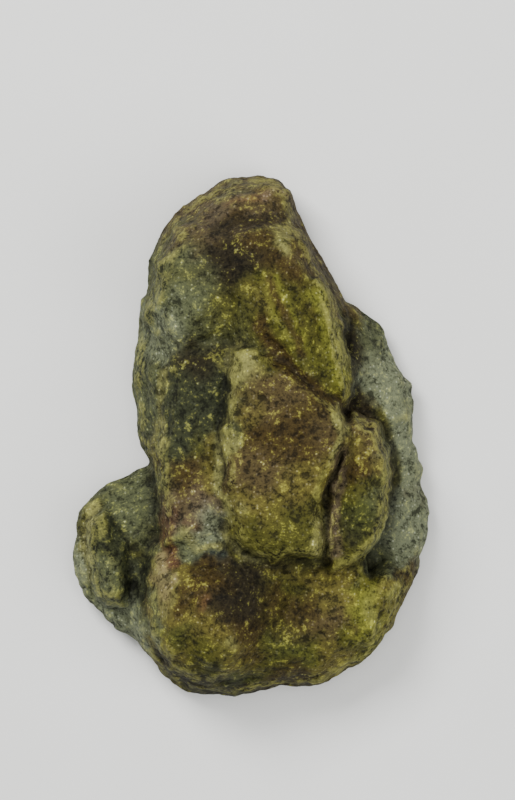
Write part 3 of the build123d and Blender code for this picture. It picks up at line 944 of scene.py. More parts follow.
@dataclass(frozen=True)
class PaintWork:
    """How the washes lie on the rock, where they pool in hollows with painted shade, and where
    they are worn off edges.
    """

    run: tuple[float, float] = (3.6, 9.0)  # how far the washes stray, and over what length
    steep_run: float = 1.4  # how much more they stray on an upright side
    streak_run: float = 0.35  # a streak's share of what a patch strays
    fade: float = 1.7  # how fast a wash thins out
    steep_fade: float = 1.3  # how much less fast on an upright side
    undercoat: float = 0.02  # weight of the coat that lies everywhere
    grit_tone: float = 1.3  # how much lighter 1 mm of grit makes the speckle
    fine_tone: tuple[float, float] = (0.62, 2.0)  # strength and length of its fine changes
    broad_tone: tuple[float, float] = (0.25, 7.0)  # the same for the broad ones
    about: tuple[float, float] = (1.3, 4.5)  # radii of the averages for crevices and for dips
    high: tuple[float, float] = (10, 15)  # heights between which hollows and wear set in
    level: tuple[float, float] = (0.0, 0.4)  # the same for the normal's Z
    # crevices and dips darken by dark wash and by painted shade
    crevice: tuple[float, float] = (0.25, 1.5)  # depths where a crevice darkens and is dark
    dip: tuple[float, float] = (0.6, 4.0)  # the same for a dip
    dip_wash_and_shade_share: float = 0.55
    edge: tuple[float, float] = (0.35, 1.0)  # heights where an edge is worn a little, and fully
    worn_share: float = 0.5

    def tone(self, points: np.ndarray, grit: np.ndarray) -> np.ndarray:
        """How light the speckle is at each point.

        Args:
            points: one row for each point.
            grit: how far the broken surface stands out at each.

        Returns:
            A number for each point, about 0 in the middle.
        """
        tone = self.grit_tone * grit
        for seed, (strength, length) in (
            (Seed.TONE, self.fine_tone), (Seed.CLOUDS, self.broad_tone)
        ):
            tone += strength * Noise(seed).layered(points, length, 2)
        return tone

    def washes(self, points: np.ndarray, normals: np.ndarray) -> np.ndarray:
        """The colour of the washes at each point.

        It is the average of their tints, each weighted by a bell curve of the distance to its
        middle or route, measured from a place that noise has shifted. On the steep sides the
        shift is larger and the bell curve wider.

        Args:
            points: one row for each point.
            normals: one row for each point.

        Returns:
            Red, green, blue and alpha, one row for each point.
        """
        amount, length = self.run
        steep = 1 - np.clip(normals[:, 2], 0, 1)
        shift = amount * np.stack(
            [Noise(seed).layered(points, length, 4) for seed in (Seed.WASH_X, Seed.WASH_Y)], axis=1
        )
        shift *= 1 + self.steep_run * steep[:, None]
        fade = self.fade - self.steep_fade * steep
        near_patch = (points[:, :2] + shift).T
        near_streak = (points[:, :2] + self.streak_run * shift).T
        total = np.full(len(points), self.undercoat)
        colour = total[:, None] * np.array(linear(Tint.OLIVE.value))
        for wash in PATCHES + STREAKS:
            away = wash.away(*(near_patch if isinstance(wash, Patch) else near_streak))
            weight = wash.strength**2 * np.exp(-fade * away**2)
            total += weight
            colour += weight[:, None] * np.array(linear(wash.tint.value))
        return colour / total[:, None]

    def weathering(
        self, points: np.ndarray, normals: np.ndarray, relief: Relief
    ) -> tuple[np.ndarray, np.ndarray]:
        """How far the relief lies below or above its own average nearby, on the upper side.

        Args:
            points: one row for each point.
            normals: one row for each point.
            relief: the rock's upper surface.

        Returns:
            How hollow each point is, for its dark wash and painted shade, and how worn, from 0 to
            1.
        """
        x, y = points[:, 0], points[:, 1]
        fine, broad = (
            relief.at(x, y) - relief.at(x, y, relief.soften(radius)) for radius in self.about
        )
        upper = smooth_step(points[:, 2], *self.high) * smooth_step(normals[:, 2], *self.level)
        # hollows get dark wash and painted shade
        hollow = smooth_step(-fine, *self.crevice)
        hollow += self.dip_wash_and_shade_share * smooth_step(-broad, *self.dip)
        worn = self.worn_share * smooth_step(fine, *self.edge)
        return np.minimum(hollow, 1) * upper, worn * upper


# ---------------------------------------------------------------- the rock


@dataclass
class RockShell:
    """The cast rock: a closed shell with a painted skin, a rebated rim and a hollow."""

    centre: tuple[float, float] = (2.0, -10.0)  # on the plan, in sight of the whole outline
    sight: float = 95.0  # further from the centre than any of the outline
    rings: int = 190
    meridians: int = 1520
    samples: tuple[int, int] = (420, 40)  # places on a meridian, over the top and down the side
    even: int = 5  # meridians to each side of one that its outline is averaged with
    tuck: float = 2.5  # how far the skin draws in between its waist and the ground
    stray: tuple[float, float] = (1.3, 13.0)  # how far the lumps' edges wander, and their bends
    ragged: tuple[float, float] = (0.6, 4.0)  # the same for the crevices' edges
    wear: float = 2.4  # radius of the average that the worn places take
    polish: float = 0.35  # radius of the average that the whole relief takes
    swell: tuple[float, float] = (0.6, 12.0)  # height and length of the skin's broad swells
    foot: tuple[float, float] = (0.2, 2.5)  # heights between which the roughness sets in
    lumps: tuple[float, float] = (0.34, 4.6)  # height and spacing of the roughness's lumps
    grains: tuple[float, float] = (0.26, 2.1)  # the same for its grains
    pits: tuple[float, float] = (0.45, 5.5)  # depth and spacing of its pits
    pit: tuple[float, float] = (0.30, 0.12)  # a pit's radii at its rim and its floor, in spacings
    wall: float = 5.0
    ledge: float = 6.2
    ledge_width: float = 4.0
    headroom: float = 1.5  # least height of the hollow over the ledge
    ease: float = 0.4  # chamfer round the rebate's mouth
    side_rows: int = 3  # rows of faces up the hollow's side
    roof_rows: int = 9  # and from there to the middle of its roof
    plate_gap: float = 0.4
    plate_corner: float = 3.0
    corner_points: int = 7  # on the arc round each of the plate's corners
    boss: float = 4.8
    anchor: float = 2.8
    pocket_sides: int = 48  # flats round an anchor's pocket
    exit_side: float = 1.2  # between the door and the sides of its way out
    exit_top: float = 2.9
    exit_span: tuple[float, float] = (2.0, 32.0)  # from the door's outer end, along -Y
    # where the way out is bare: its middle and half width, its inner end and its top
    way_out: tuple[float, float, float, float] = (3.0, 22.3, -50.0, 2.95)
    ground: float = 0.3  # what is lower is bare
    overhang: float = -0.75  # so is what has a normal with a lower Z
    slack: tuple[float, float] = (0.6, 2.0)  # the hollow is bare this far past its wall and roof
    noise: Noise = Noise(Seed.SHAPE)
    plate_outline: tuple = (
        (-9, 60), (7, 60), (14, 47), (20, 36), (33, 24), (38, 0), (41, -27), (36, -43),
        (28, -56), (10, -62), (-13, -62), (-27, -52), (-39, -41), (-40, -27), (-24, -9),
        (-23.5, 12), (-22.5, 36), (-17, 54),
    )

    def build(self, frame: dict) -> bpy.types.Object:
        """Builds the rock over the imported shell.


        Returns:
            The finished piece.
        """
        relief = self._relief(frame["nodes"]["rock_shell"])
        angles = 2 * math.pi * np.arange(self.meridians) / self.meridians
        skin, faces, rim = self._skin(relief, angles)
        inner, inner_faces = self._inside(relief, rim, len(skin))
        rock = mesh_piece(
            "rock_shell_cast", np.vstack([skin, inner]), faces + inner_faces,
            CastStone().material(),
        )
        self._roughen(rock, len(skin))
        self._fit(rock, "rock_shell")
        self._cut_exit(rock)
        self._paint(rock, relief)
        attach(rock, "rock")
        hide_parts("rock_shell")
        return rock

    def _relief(self, shell: bpy.types.Object) -> Relief:
        """The upper surface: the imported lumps, with wandering, worn edges, beds and crevices.

        Args:
            shell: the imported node.

        Returns:
            The surface as heights on the plan.
        """
        relief = Relief()
        relief.drop(shell)
        relief.warp(self.noise, *self.stray)
        x, y = relief.plan()
        worn = np.zeros_like(x)
        for soft in SOFT:
            away = np.hypot(x - soft.x, y - soft.y) / soft.radius
            worn = np.maximum(worn, np.exp(-(away**4)))
        relief.heights += worn * (relief.soften(self.wear) - relief.heights)
        for crack in CRACKS:
            crack.cut(relief, self.noise)
        for beds in BEDS:
            relief.heights += beds.height(x, y, self.noise)
        relief.warp(Noise(Seed.RAGGED), *self.ragged)
        relief.heights = relief.soften(self.polish)
        return relief

    def _skin(self, relief: Relief, angles: np.ndarray) -> tuple[np.ndarray, list, np.ndarray]:
        """The outside, as a function of a ring's number and an angle round the centre.

        A meridian runs out from the centre over the relief to the outline, then in and down to
        the ground. Equal shares of its length are its places on the rings. Ring m has 4m points,
        so that the spacing is even: the points are those of a square lattice whose steps from
        the middle, across plus up, come to at most the number of rings.

        Args:
            relief: the rock's upper surface.
            angles: the meridians' angles.

        Returns:
            The points, the faces, and the numbers of the points round the ground.
        """
        radius, height = self._meridians(relief, angles)
        count = self.rings
        across, up = np.meshgrid(np.arange(-count, count + 1), np.arange(-count, count + 1))
        kept = np.abs(across) + np.abs(up) <= count
        number = np.full(kept.shape, -1)
        number[kept] = np.arange(kept.sum())
        a, b = across[kept], up[kept]
        ring = np.abs(a) + np.abs(b)
        turn = self._turn(a, b, np.maximum(ring, 1))
        column = turn * self.meridians
        first = np.floor(column).astype(int) % self.meridians
        second, share = (first + 1) % self.meridians, column - np.floor(column)
        out = radius[first, ring] * (1 - share) + radius[second, ring] * share
        rise = height[first, ring] * (1 - share) + height[second, ring] * share
        theta = 2 * math.pi * turn
        x, y = self._plan(out, theta)
        squares = np.stack(
            [number[:-1, :-1], number[:-1, 1:], number[1:, 1:], number[1:, :-1]], axis=-1
        ).reshape(-1, 4)
        held = (squares >= 0).sum(axis=1)
        quads = squares[held == 4].tolist()
        corners = squares[held == 3]
        corners = corners[corners >= 0].reshape(-1, 3).tolist()
        edge = np.flatnonzero(ring == count)
        rim = edge[np.argsort(turn[edge])]
        return np.stack([x, y, rise], axis=1), quads + corners, rim

    def _plan(self, out: np.ndarray, theta: np.ndarray) -> tuple[np.ndarray, np.ndarray]:
        """X and Y of the places that lie this far out from the centre at these angles."""
        return self.centre[0] + out * np.cos(theta), self.centre[1] + out * np.sin(theta)

    @staticmethod
    def _turn(a: np.ndarray, b: np.ndarray, ring: np.ndarray) -> np.ndarray:
        """How far round their rings lattice points lie: a quarter for each side of the square.

        Args:
            a: the points' steps across from the middle.
            b: their steps up from it.
            ring: the sum of both, at least 1.

        Returns:
            0 at +X, and on anticlockwise to 1.
        """
        quarters = [
            (a > 0) & (b >= 0), (a <= 0) & (b > 0), (a < 0) & (b <= 0), (a >= 0) & (b < 0)
        ]
        shares = [b / ring, 1 - a / ring, 2 - b / ring, 3 + a / ring]
        return np.select(quarters, shares, 0.0) / 4

    def _meridians(self, relief: Relief, angles: np.ndarray) -> tuple[np.ndarray, np.ndarray]:
        """Distance from the centre and height of every ring's place on each meridian.

        The outline is the last place along a ray that is no lower than the relief's waist. The
        side under it draws in by the power 1.5 of the share of the way down.

        Args:
            relief: the rock's upper surface.
            angles: the meridians' angles.

        Returns:
            The distances and the heights, a row for each meridian.
        """
        theta = angles[:, None]
        far = np.arange(0, self.sight, relief.step)[None, :]
        ray = relief.at(*self._plan(far, theta))
        last = far.shape[1] - 1 - np.argmax(ray[:, ::-1] >= relief.waist, axis=1)
        row = np.arange(len(angles))
        above, below = ray[row, last], ray[row, np.minimum(last + 1, far.shape[1] - 1)]
        share = (above - relief.waist) / np.maximum(above - below, TINY)
        edge = self._round_average(far[0, last] + relief.step * share, self.even)[:, None]
        over, down = (np.linspace(0, 1, count)[None, :] for count in self.samples)
        out = edge * over
        height = np.maximum(relief.at(*self._plan(out, theta)), relief.waist)
        down = down[:, 1:]
        out = np.hstack([out, edge - self.tuck * down**1.5])
        height = np.hstack([height, np.repeat(relief.waist * (1 - down), len(angles), axis=0)])
        run = np.hypot(np.diff(out, axis=1), np.diff(height, axis=1))
        length = np.hstack([np.zeros((len(angles), 1)), np.cumsum(run, axis=1)])
        length /= length[:, -1:]
        # all the meridians end to end, two apart, so that one interpolation serves them
        place = (length + 2 * row[:, None]).ravel()
        wanted = (np.linspace(0, 1, self.rings + 1)[None, :] + 2 * row[:, None]).ravel()
        shape = (len(angles), self.rings + 1)
        return (
            np.interp(wanted, place, out.ravel()).reshape(shape),
            np.interp(wanted, place, height.ravel()).reshape(shape),
        )

    @staticmethod
    def _round_average(values: np.ndarray, reach: int) -> np.ndarray:
        """Each value averaged with its neighbours round a closed ring."""
        return sum(np.roll(values, n) for n in range(-reach, reach + 1)) / (2 * reach + 1)

    def _outline(self, grow: float) -> np.ndarray:
        """The plate's outline, offset outwards, with its corners rounded by short arcs.

        An arc's middle is where the two sides' inner parallels meet. A corner that turns
        the other way has its arc outside, with the offset taken off its radius.

        Args:
            grow: the offset. Inwards if it is negative.

        Returns:
            X and Y of the points round the outline.
        """
        corners = np.array(self.plate_outline, float)
        before = corners - np.roll(corners, 1, axis=0)
        after = np.roll(corners, -1, axis=0) - corners
        before /= np.linalg.norm(before, axis=1, keepdims=True)
        after /= np.linalg.norm(after, axis=1, keepdims=True)
        cross = before[:, 0] * after[:, 1] - before[:, 1] * after[:, 0]
        bend = np.arctan2(cross, (before * after).sum(1))
        side = np.sign(bend)  # -1 where the outline turns right, as a clockwise one does
        normal = np.stack([-before[:, 1], before[:, 0]], axis=1) * side[:, None]
        leg = self.plate_corner * np.tan(np.abs(bend) / 2)
        middle = corners - before * leg[:, None] + normal * self.plate_corner
        share = np.linspace(0, 1, self.corner_points)[None, :]
        start = np.arctan2(-normal[:, 1], -normal[:, 0])[:, None]
        angle = start + bend[:, None] * share
        radius = (self.plate_corner - side * grow)[:, None]
        x = middle[:, :1] + radius * np.cos(angle)
        y = middle[:, 1:] + radius * np.sin(angle)
        return np.stack([x.ravel(), y.ravel()], axis=1)

    def _reach(self, outline: np.ndarray, theta: np.ndarray) -> np.ndarray:
        """How far a closed outline is from the centre at each angle.

        A ray meets a side where their cross products say, and the farthest meeting counts.

        Args:
            outline: X and Y of its points.
            theta: the angles.

        Returns:
            A distance for each angle.
        """
        start = outline - np.array(self.centre)
        end = np.roll(start, -1, axis=0)
        ray = np.stack([np.cos(theta), np.sin(theta)], axis=1)
        side = end - start
        across = ray[:, None, 0] * side[None, :, 1] - ray[:, None, 1] * side[None, :, 0]
        across = np.where(np.abs(across) < TINY, TINY, across)  # so as never to divide by 0
        far = (start[:, 0] * side[:, 1] - start[:, 1] * side[:, 0])[None, :] / across
        along = start[None, :, 0] * ray[:, None, 1] - start[None, :, 1] * ray[:, None, 0]
        along /= across
        meets = (along >= -TINY) & (along <= 1 + TINY) & (far > 0)
        return np.where(meets, far, 0).max(axis=1)

    def _inside(self, relief: Relief, rim: np.ndarray, first: int) -> tuple[np.ndarray, list]:
        """The rim's face, the rebate, the ledge and the hollow, as rings of the rim's angles.

        The hollow's roof is the lower side of a ball of the wall's radius that rolls under the
        relief. Its sides bulge in round the bosses, to the near side of each boss's circle.

        Args:
            relief: the rock's upper surface.
            rim: the numbers of the skin's points round the ground.
            first: the number of the first point made here.

        Returns:
            The points and the faces.
        """
        theta = 2 * math.pi * np.arange(len(rim)) / len(rim)
        rebate = self._reach(self._outline(self.plate_gap), theta)
        mouth = self._reach(self._outline(-self.ledge_width), theta)
        for x, y in SCREW_SPOTS:
            away = np.hypot(x - self.centre[0], y - self.centre[1])
            off = theta - math.atan2(y - self.centre[1], x - self.centre[0])
            aside = away * np.sin(off)
            hit = (np.abs(aside) < self.boss) & (np.cos(off) > 0)
            near = away * np.cos(off) - np.sqrt(np.maximum(self.boss**2 - aside**2, 0))
            mouth = np.where(hit, np.minimum(mouth, near), mouth)
        roof = self._roof(relief)
        rows = [
            (rebate + self.ease, np.zeros_like(theta)),
            (rebate, np.full_like(theta, self.ease)),
            (rebate, np.full_like(theta, self.ledge)),
            (mouth, np.full_like(theta, self.ledge)),
        ]
        top = self._over(roof, relief, mouth, theta)
        for n in range(1, self.side_rows + 1):
            rows.append((mouth, self.ledge + (top - self.ledge) * n / self.side_rows))
        for n in range(1, self.roof_rows):
            shorter = mouth * (1 - n / self.roof_rows)
            rows.append((shorter, self._over(roof, relief, shorter, theta)))
        points = np.vstack([
            np.stack([*self._plan(out, theta), up], axis=1) for out, up in rows
        ])
        pole = [*self.centre, float(relief.at(*map(np.array, self.centre), roof))]
        count = len(rim)
        rings = [rim] + [first + count * n + np.arange(count) for n in range(len(rows))]
        faces = band(np.stack(rings[:-1]), np.stack(rings[1:]))
        return np.vstack([points, pole]), faces + fan(first + len(points), rings[-1][::-1])

    def _roof(self, relief: Relief) -> np.ndarray:
        """The relief eroded by a ball of the wall's radius, tried at every fourth grid point.

        Args:
            relief: the rock's upper surface.

        Returns:
            The roof's height at each grid point.
        """
        reach = int(self.wall / relief.step)
        steps = np.arange(-reach, reach + 1, 4)
        roof = np.full(relief.heights.shape, np.inf)
        for dx in steps:
            for dy in steps:
                under = self.wall**2 - (dx**2 + dy**2) * relief.step**2
                if under >= 0:
                    shifted = np.roll(relief.heights, (dy, dx), axis=(0, 1))
                    roof = np.minimum(roof, shifted - math.sqrt(under))
        return roof

    def _over(
        self, roof: np.ndarray, relief: Relief, out: np.ndarray, theta: np.ndarray
    ) -> np.ndarray:
        """The roof's height this far out at these angles, kept clear above the ledge."""
        return np.maximum(relief.at(*self._plan(out, theta), roof), self.ledge + self.headroom)

    def _roughen(self, rock: bpy.types.Object, skin_count: int) -> None:
        """Moves the skin along its normals: broad swells, dents, grit and pits.

        Args:
            rock: the rock.
            skin_count: how many of its vertices, the first ones, are the skin's.
        """
        mesh = rock.data
        points, normals = vertex_places(mesh), vertex_normals(mesh)
        skin = points[:skin_count]
        height, length = self.swell
        push = height * self.noise.layered(skin, length, 2) + self._grit(skin)
        push *= smooth_step(skin[:, 2], *self.foot)
        points[:skin_count] += normals[:skin_count] * push[:, None]
        points[:, 2] = np.maximum(points[:, 2], 0)
        mesh.vertices.foreach_set("co", (points * MM).ravel())
        mesh.update()

    def _grit(self, points: np.ndarray) -> np.ndarray:
        """How far the broken surface stands out: layers of lumps, and grains, less a few pits.

        Args:
            points: one row for each point.

        Returns:
            A height for each point.
        """
        height, apart = self.lumps
        push = height * Noise(Seed.LUMPS).layered(points, apart, 4)
        height, apart = self.grains
        push += height * (0.5 - Noise(Seed.GRAINS).grains(points, apart))
        depth, apart = self.pits
        return push - depth * smooth_step(Noise(Seed.PITS).grains(points, apart), *self.pit)

    @staticmethod
    def _fit(rock: bpy.types.Object, node: str) -> None:
        """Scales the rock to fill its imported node's box exactly.

        Args:
            rock: the rock.
            node: the node's name.
        """
        low, high = (np.array(corner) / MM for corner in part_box(node))
        points = vertex_places(rock.data)
        share = (points - points.min(0)) / np.ptp(points, axis=0)
        points = low + share * (high - low)
        rock.data.vertices.foreach_set("co", (points * MM).ravel())
        rock.data.update()

    def _cut_exit(self, rock: bpy.types.Object) -> None:
        """Cuts the door's way out through the rim, and the anchors' pockets.

        The cutters reach below the ground, so that no skin is left there.

        Args:
            rock: the rock.
        """
        cutter = bmesh.new()
        low, high = (np.array(corner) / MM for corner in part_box("sliding_door"))
        inner, outer = (low[1] - run for run in self.exit_span)
        tall, deeper = 10.0, 2.0
        middle = Vector(((low[0] + high[0]) / 2, (inner + outer) / 2, self.exit_top - tall / 2))
        size = Vector((high[0] - low[0] + 2 * self.exit_side, inner - outer, tall))
        for corner in bmesh.ops.create_cube(cutter, size=1)["verts"]:
            corner.co = (middle + corner.co * size) * MM
        low, high = (np.array(corner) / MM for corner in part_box("screw_anchors"))
        for x, y in SCREW_SPOTS:
            made = bmesh.ops.create_cone(
                cutter, cap_ends=True, segments=self.pocket_sides, radius1=self.anchor * MM,
                radius2=self.anchor * MM, depth=(high[2] - low[2] + deeper) * MM,
            )
            place = Vector((x, y, (low[2] + high[2] - deeper) / 2)) * MM
            bmesh.ops.translate(cutter, verts=made["verts"], vec=place)
        mesh = bpy.data.meshes.new("exit_cutter")
        cutter.to_mesh(mesh)
        cutter.free()
        tool = bpy.data.objects.new("exit_cutter", mesh)
        bpy.context.scene.collection.objects.link(tool)
        subtract(rock, tool)

    def _paint(self, rock: bpy.types.Object, relief: Relief) -> None:
        """Stores each vertex's wash colour and tone, and how hollow, worn and bare it is.

        Args:
            rock: the rock.
            relief: its upper surface.
        """
        mesh = rock.data
        points, normals = vertex_places(mesh), vertex_normals(mesh)
        work = PaintWork()
        hollow, worn = work.weathering(points, normals, relief)
        self._store(mesh, "paint", work.washes(points, normals))
        self._store(mesh, "tone", work.tone(points, self._grit(points)))
        self._store(mesh, "hollow", hollow)
        self._store(mesh, "worn", worn)
        self._store(mesh, "bare", self._is_bare(points, normals, relief).astype(float))

    def _is_bare(
        self, points: np.ndarray, normals: np.ndarray, relief: Relief
    ) -> np.ndarray:
        """Where the paint doesn't reach: underneath, in the hollow, and in the door's way out.

        The hollow's roof lies a wall's thickness under the skin, so a point within the plate's
        outline belongs to the hollow if it isn't well above that roof.

        Args:
            points: one row for each point.
            normals: one row for each point.
            relief: the rock's upper surface.

        Returns:
            True for each bare point.
        """
        x, y, z = points.T
        off_x, off_y = x - self.centre[0], y - self.centre[1]
        table = np.linspace(-math.pi, math.pi, 360 * 8 + 1)  # every eighth of a degree
        reach = self._reach(self._outline(self.plate_gap), table)
        reach = np.interp(np.arctan2(off_y, off_x), table, reach)
        roof = np.maximum(relief.at(x, y, self._roof(relief)), self.ledge + self.headroom)
        wider, higher = self.slack
        within = (np.hypot(off_x, off_y) < reach + wider) & (z < roof + higher)
        middle, half, start, top = self.way_out
        way_out = (z < top) & (y < start) & (np.abs(x - middle) < half)
        return (z < self.ground) | (normals[:, 2] < self.overhang) | within | way_out

    @staticmethod
    def _store(mesh: bpy.types.Mesh, name: str, values: np.ndarray) -> None:
        """Writes an attribute on the vertices.

        Args:
            mesh: the mesh.
            name: the attribute's name.
            values: a number for each vertex, or a colour.
        """
        kind, slot = ("FLOAT_COLOR", "color") if values.ndim == 2 else ("FLOAT", "value")
        layer = mesh.attributes.new(name, kind, "POINT")
        layer.data.foreach_set(slot, values.astype(np.float32).ravel())


# ---------------------------------------------------------------- finishes of the base


@dataclass(frozen=True)
class MouldedPlastic:
    """Injection-moulded plastic from a tool with a spark-eroded face.

    The eroded face gives a fine, even grain that breaks up the gloss. Flow in the tool leaves
    clouds that are a little duller.
    """

    name: str
    colour: str
    roughness: float = 0.5
    grain: float = 0.6  # the real grain is about 0.05 mm, too fine for the view
    depth: float = 0.05
    cloud: float = 26.0  # spacing of the clouds
    dust: float = 1.35  # how much paler the clouds are
    spread: tuple[float, float] = (-0.06, 0.08)  # what the clouds add to the roughness
    ior: float = 1.53

    def material(self) -> bpy.types.Material:
        """Builds the material on Object coordinates.

        Returns:
            The material.
        """
        material, tree = new_material(self.name)
        place = add_node(tree, "TexCoord", out="Object")
        grain = add_node(
            tree, "TexNoise", {"Vector": place, "Scale": per_mm(self.grain), "Detail": 2.0}
        )
        flow = add_node(
            tree, "TexNoise", {"Vector": place, "Scale": per_mm(self.cloud), "Detail": 2.0}
        )
        dust = add_node(tree, "HueSaturation", {"Color": linear(self.colour), "Value": self.dust})
        tone = add_node(tree, "Mix", {0: flow, 6: linear(self.colour), 7: dust}, **COLOUR_MIX)
        rough = add_node(tree, "MapRange", {
            "Value": flow, "From Min": 0.3, "From Max": 0.7,
            "To Min": self.roughness + self.spread[0], "To Max": self.roughness + self.spread[1],
        })
        normal = add_node(
            tree, "Bump", {"Height": grain, "Distance": self.depth * MM, "Strength": 0.7}
        )
        shader = add_node(tree, "BsdfPrincipled", {
            "Base Color": tone, "Roughness": rough, "IOR": self.ior, "Normal": normal,
        })
        add_node(tree, "OutputMaterial", {"Surface": shader})
        return material


@dataclass(frozen=True)
class Foam:
    """Closed-cell polyethylene foam, cut from a sheet: a dull skin of small burst cells."""

    name: str
    colour: str
    cell: float = 0.9  # the real cells are about 0.4 mm
    depth: float = 0.18
    shade: float = 0.45  # how dark a cell is at its middle
    roughness: float = 0.95
    gloss: float = 0.2
    sheen: float = 0.15

    def material(self) -> bpy.types.Material:
        """Builds the material on Object coordinates.

        Returns:
            The material.
        """
        material, tree = new_material(self.name)
        place = add_node(tree, "TexCoord", out="Object")
        cells = add_node(tree, "TexVoronoi", {"Vector": place, "Scale": per_mm(self.cell)})
        shade = add_node(
            tree, "HueSaturation", {"Color": linear(self.colour), "Value": self.shade}
        )
        tone = add_node(tree, "Mix", {0: cells, 6: shade, 7: linear(self.colour)}, **COLOUR_MIX)
        normal = add_node(
            tree, "Bump", {"Height": cells, "Distance": self.depth * MM, "Strength": 0.8}
        )
        shader = add_node(tree, "BsdfPrincipled", {
            "Base Color": tone, "Roughness": self.roughness, "Specular IOR Level": self.gloss,
            "Sheen Weight": self.sheen, "Normal": normal,
        })
        add_node(tree, "OutputMaterial", {"Surface": shader})
        return material


@dataclass(frozen=True)
class PlatedSteel:
    """Rolled steel screws, bright zinc plated: a cool metal with a slightly uneven shine."""

    name: str = "zinc_plated_steel"
    colour: str = "#b4b8bb"
    dull: str = "#8f9190"
    stain: float = 1.4  # size of the plating's dull spots
    roughness: tuple[float, float] = (0.45, 0.25)  # in the spots, and between them

    def material(self) -> bpy.types.Material:
        """Builds the material on Object coordinates.

        Returns:
            The material.
        """
        material, tree = new_material(self.name)
        place = add_node(tree, "TexCoord", out="Object")
        stain = add_node(
            tree, "TexNoise", {"Vector": place, "Scale": per_mm(self.stain), "Detail": 4.0}
        )
        tone = add_node(
            tree, "Mix", {0: stain, 6: linear(self.dull), 7: linear(self.colour)}, **COLOUR_MIX
        )
        rough = add_node(tree, "MapRange", {
            "Value": stain, "From Min": 0.3, "From Max": 0.7,
            "To Min": self.roughness[0], "To Max": self.roughness[1],
        })
        shader = add_node(tree, "BsdfPrincipled", {
            "Base Color": tone, "Metallic": 1.0, "Roughness": rough,
        })
        add_node(tree, "OutputMaterial", {"Surface": shader})
        return material


# ---------------------------------------------------------------- the base


@dataclass(frozen=True)
class Moulding:
    """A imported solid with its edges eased, as a moulded or cut part has them."""

    node: str
    piece: str
    body: str
    slot: str
    ease: float  # width of the rounding
    merge: float = 0.002  # vertices this near each other are one
    flat: float = 1.0  # faces that meet within this angle are one face, in degrees
    sharp: float = 35.0  # edges that turn further than this are rounded

    def build(self, frame: dict, finish: bpy.types.Material) -> bpy.types.Object:
        """Merges a copy of the node's mesh, rounds its edges and dresses it.

        Args:
            finish: its material.

        Returns:
            The finished piece.
        """
        shape = bmesh.new()
        shape.from_mesh(frame["nodes"][self.node].data)
        bmesh.ops.remove_doubles(shape, verts=shape.verts, dist=self.merge * MM)
        bmesh.ops.dissolve_limit(
            shape, angle_limit=math.radians(self.flat), verts=shape.verts, edges=shape.edges
        )
        mesh = bpy.data.meshes.new(self.piece)
        shape.to_mesh(mesh)
        shape.free()
        mesh.materials.append(finish)
        mesh.shade_smooth()
        piece = bpy.data.objects.new(self.piece, mesh)
        bpy.context.scene.collection.objects.link(piece)
        rounding = piece.modifiers.new("eased", "BEVEL")
        rounding.width, rounding.segments = self.ease * MM, 2
        rounding.limit_method, rounding.angle_limit = "ANGLE", math.radians(self.sharp)
        rounding.use_clamp_overlap = rounding.harden_normals = True
        flats = piece.modifiers.new("flats", "WEIGHTED_NORMAL")
        flats.weight = 100  # the largest faces alone set the normals
        apply_modifiers(piece)
        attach(piece, self.body)
        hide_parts(self.node)
        return piece


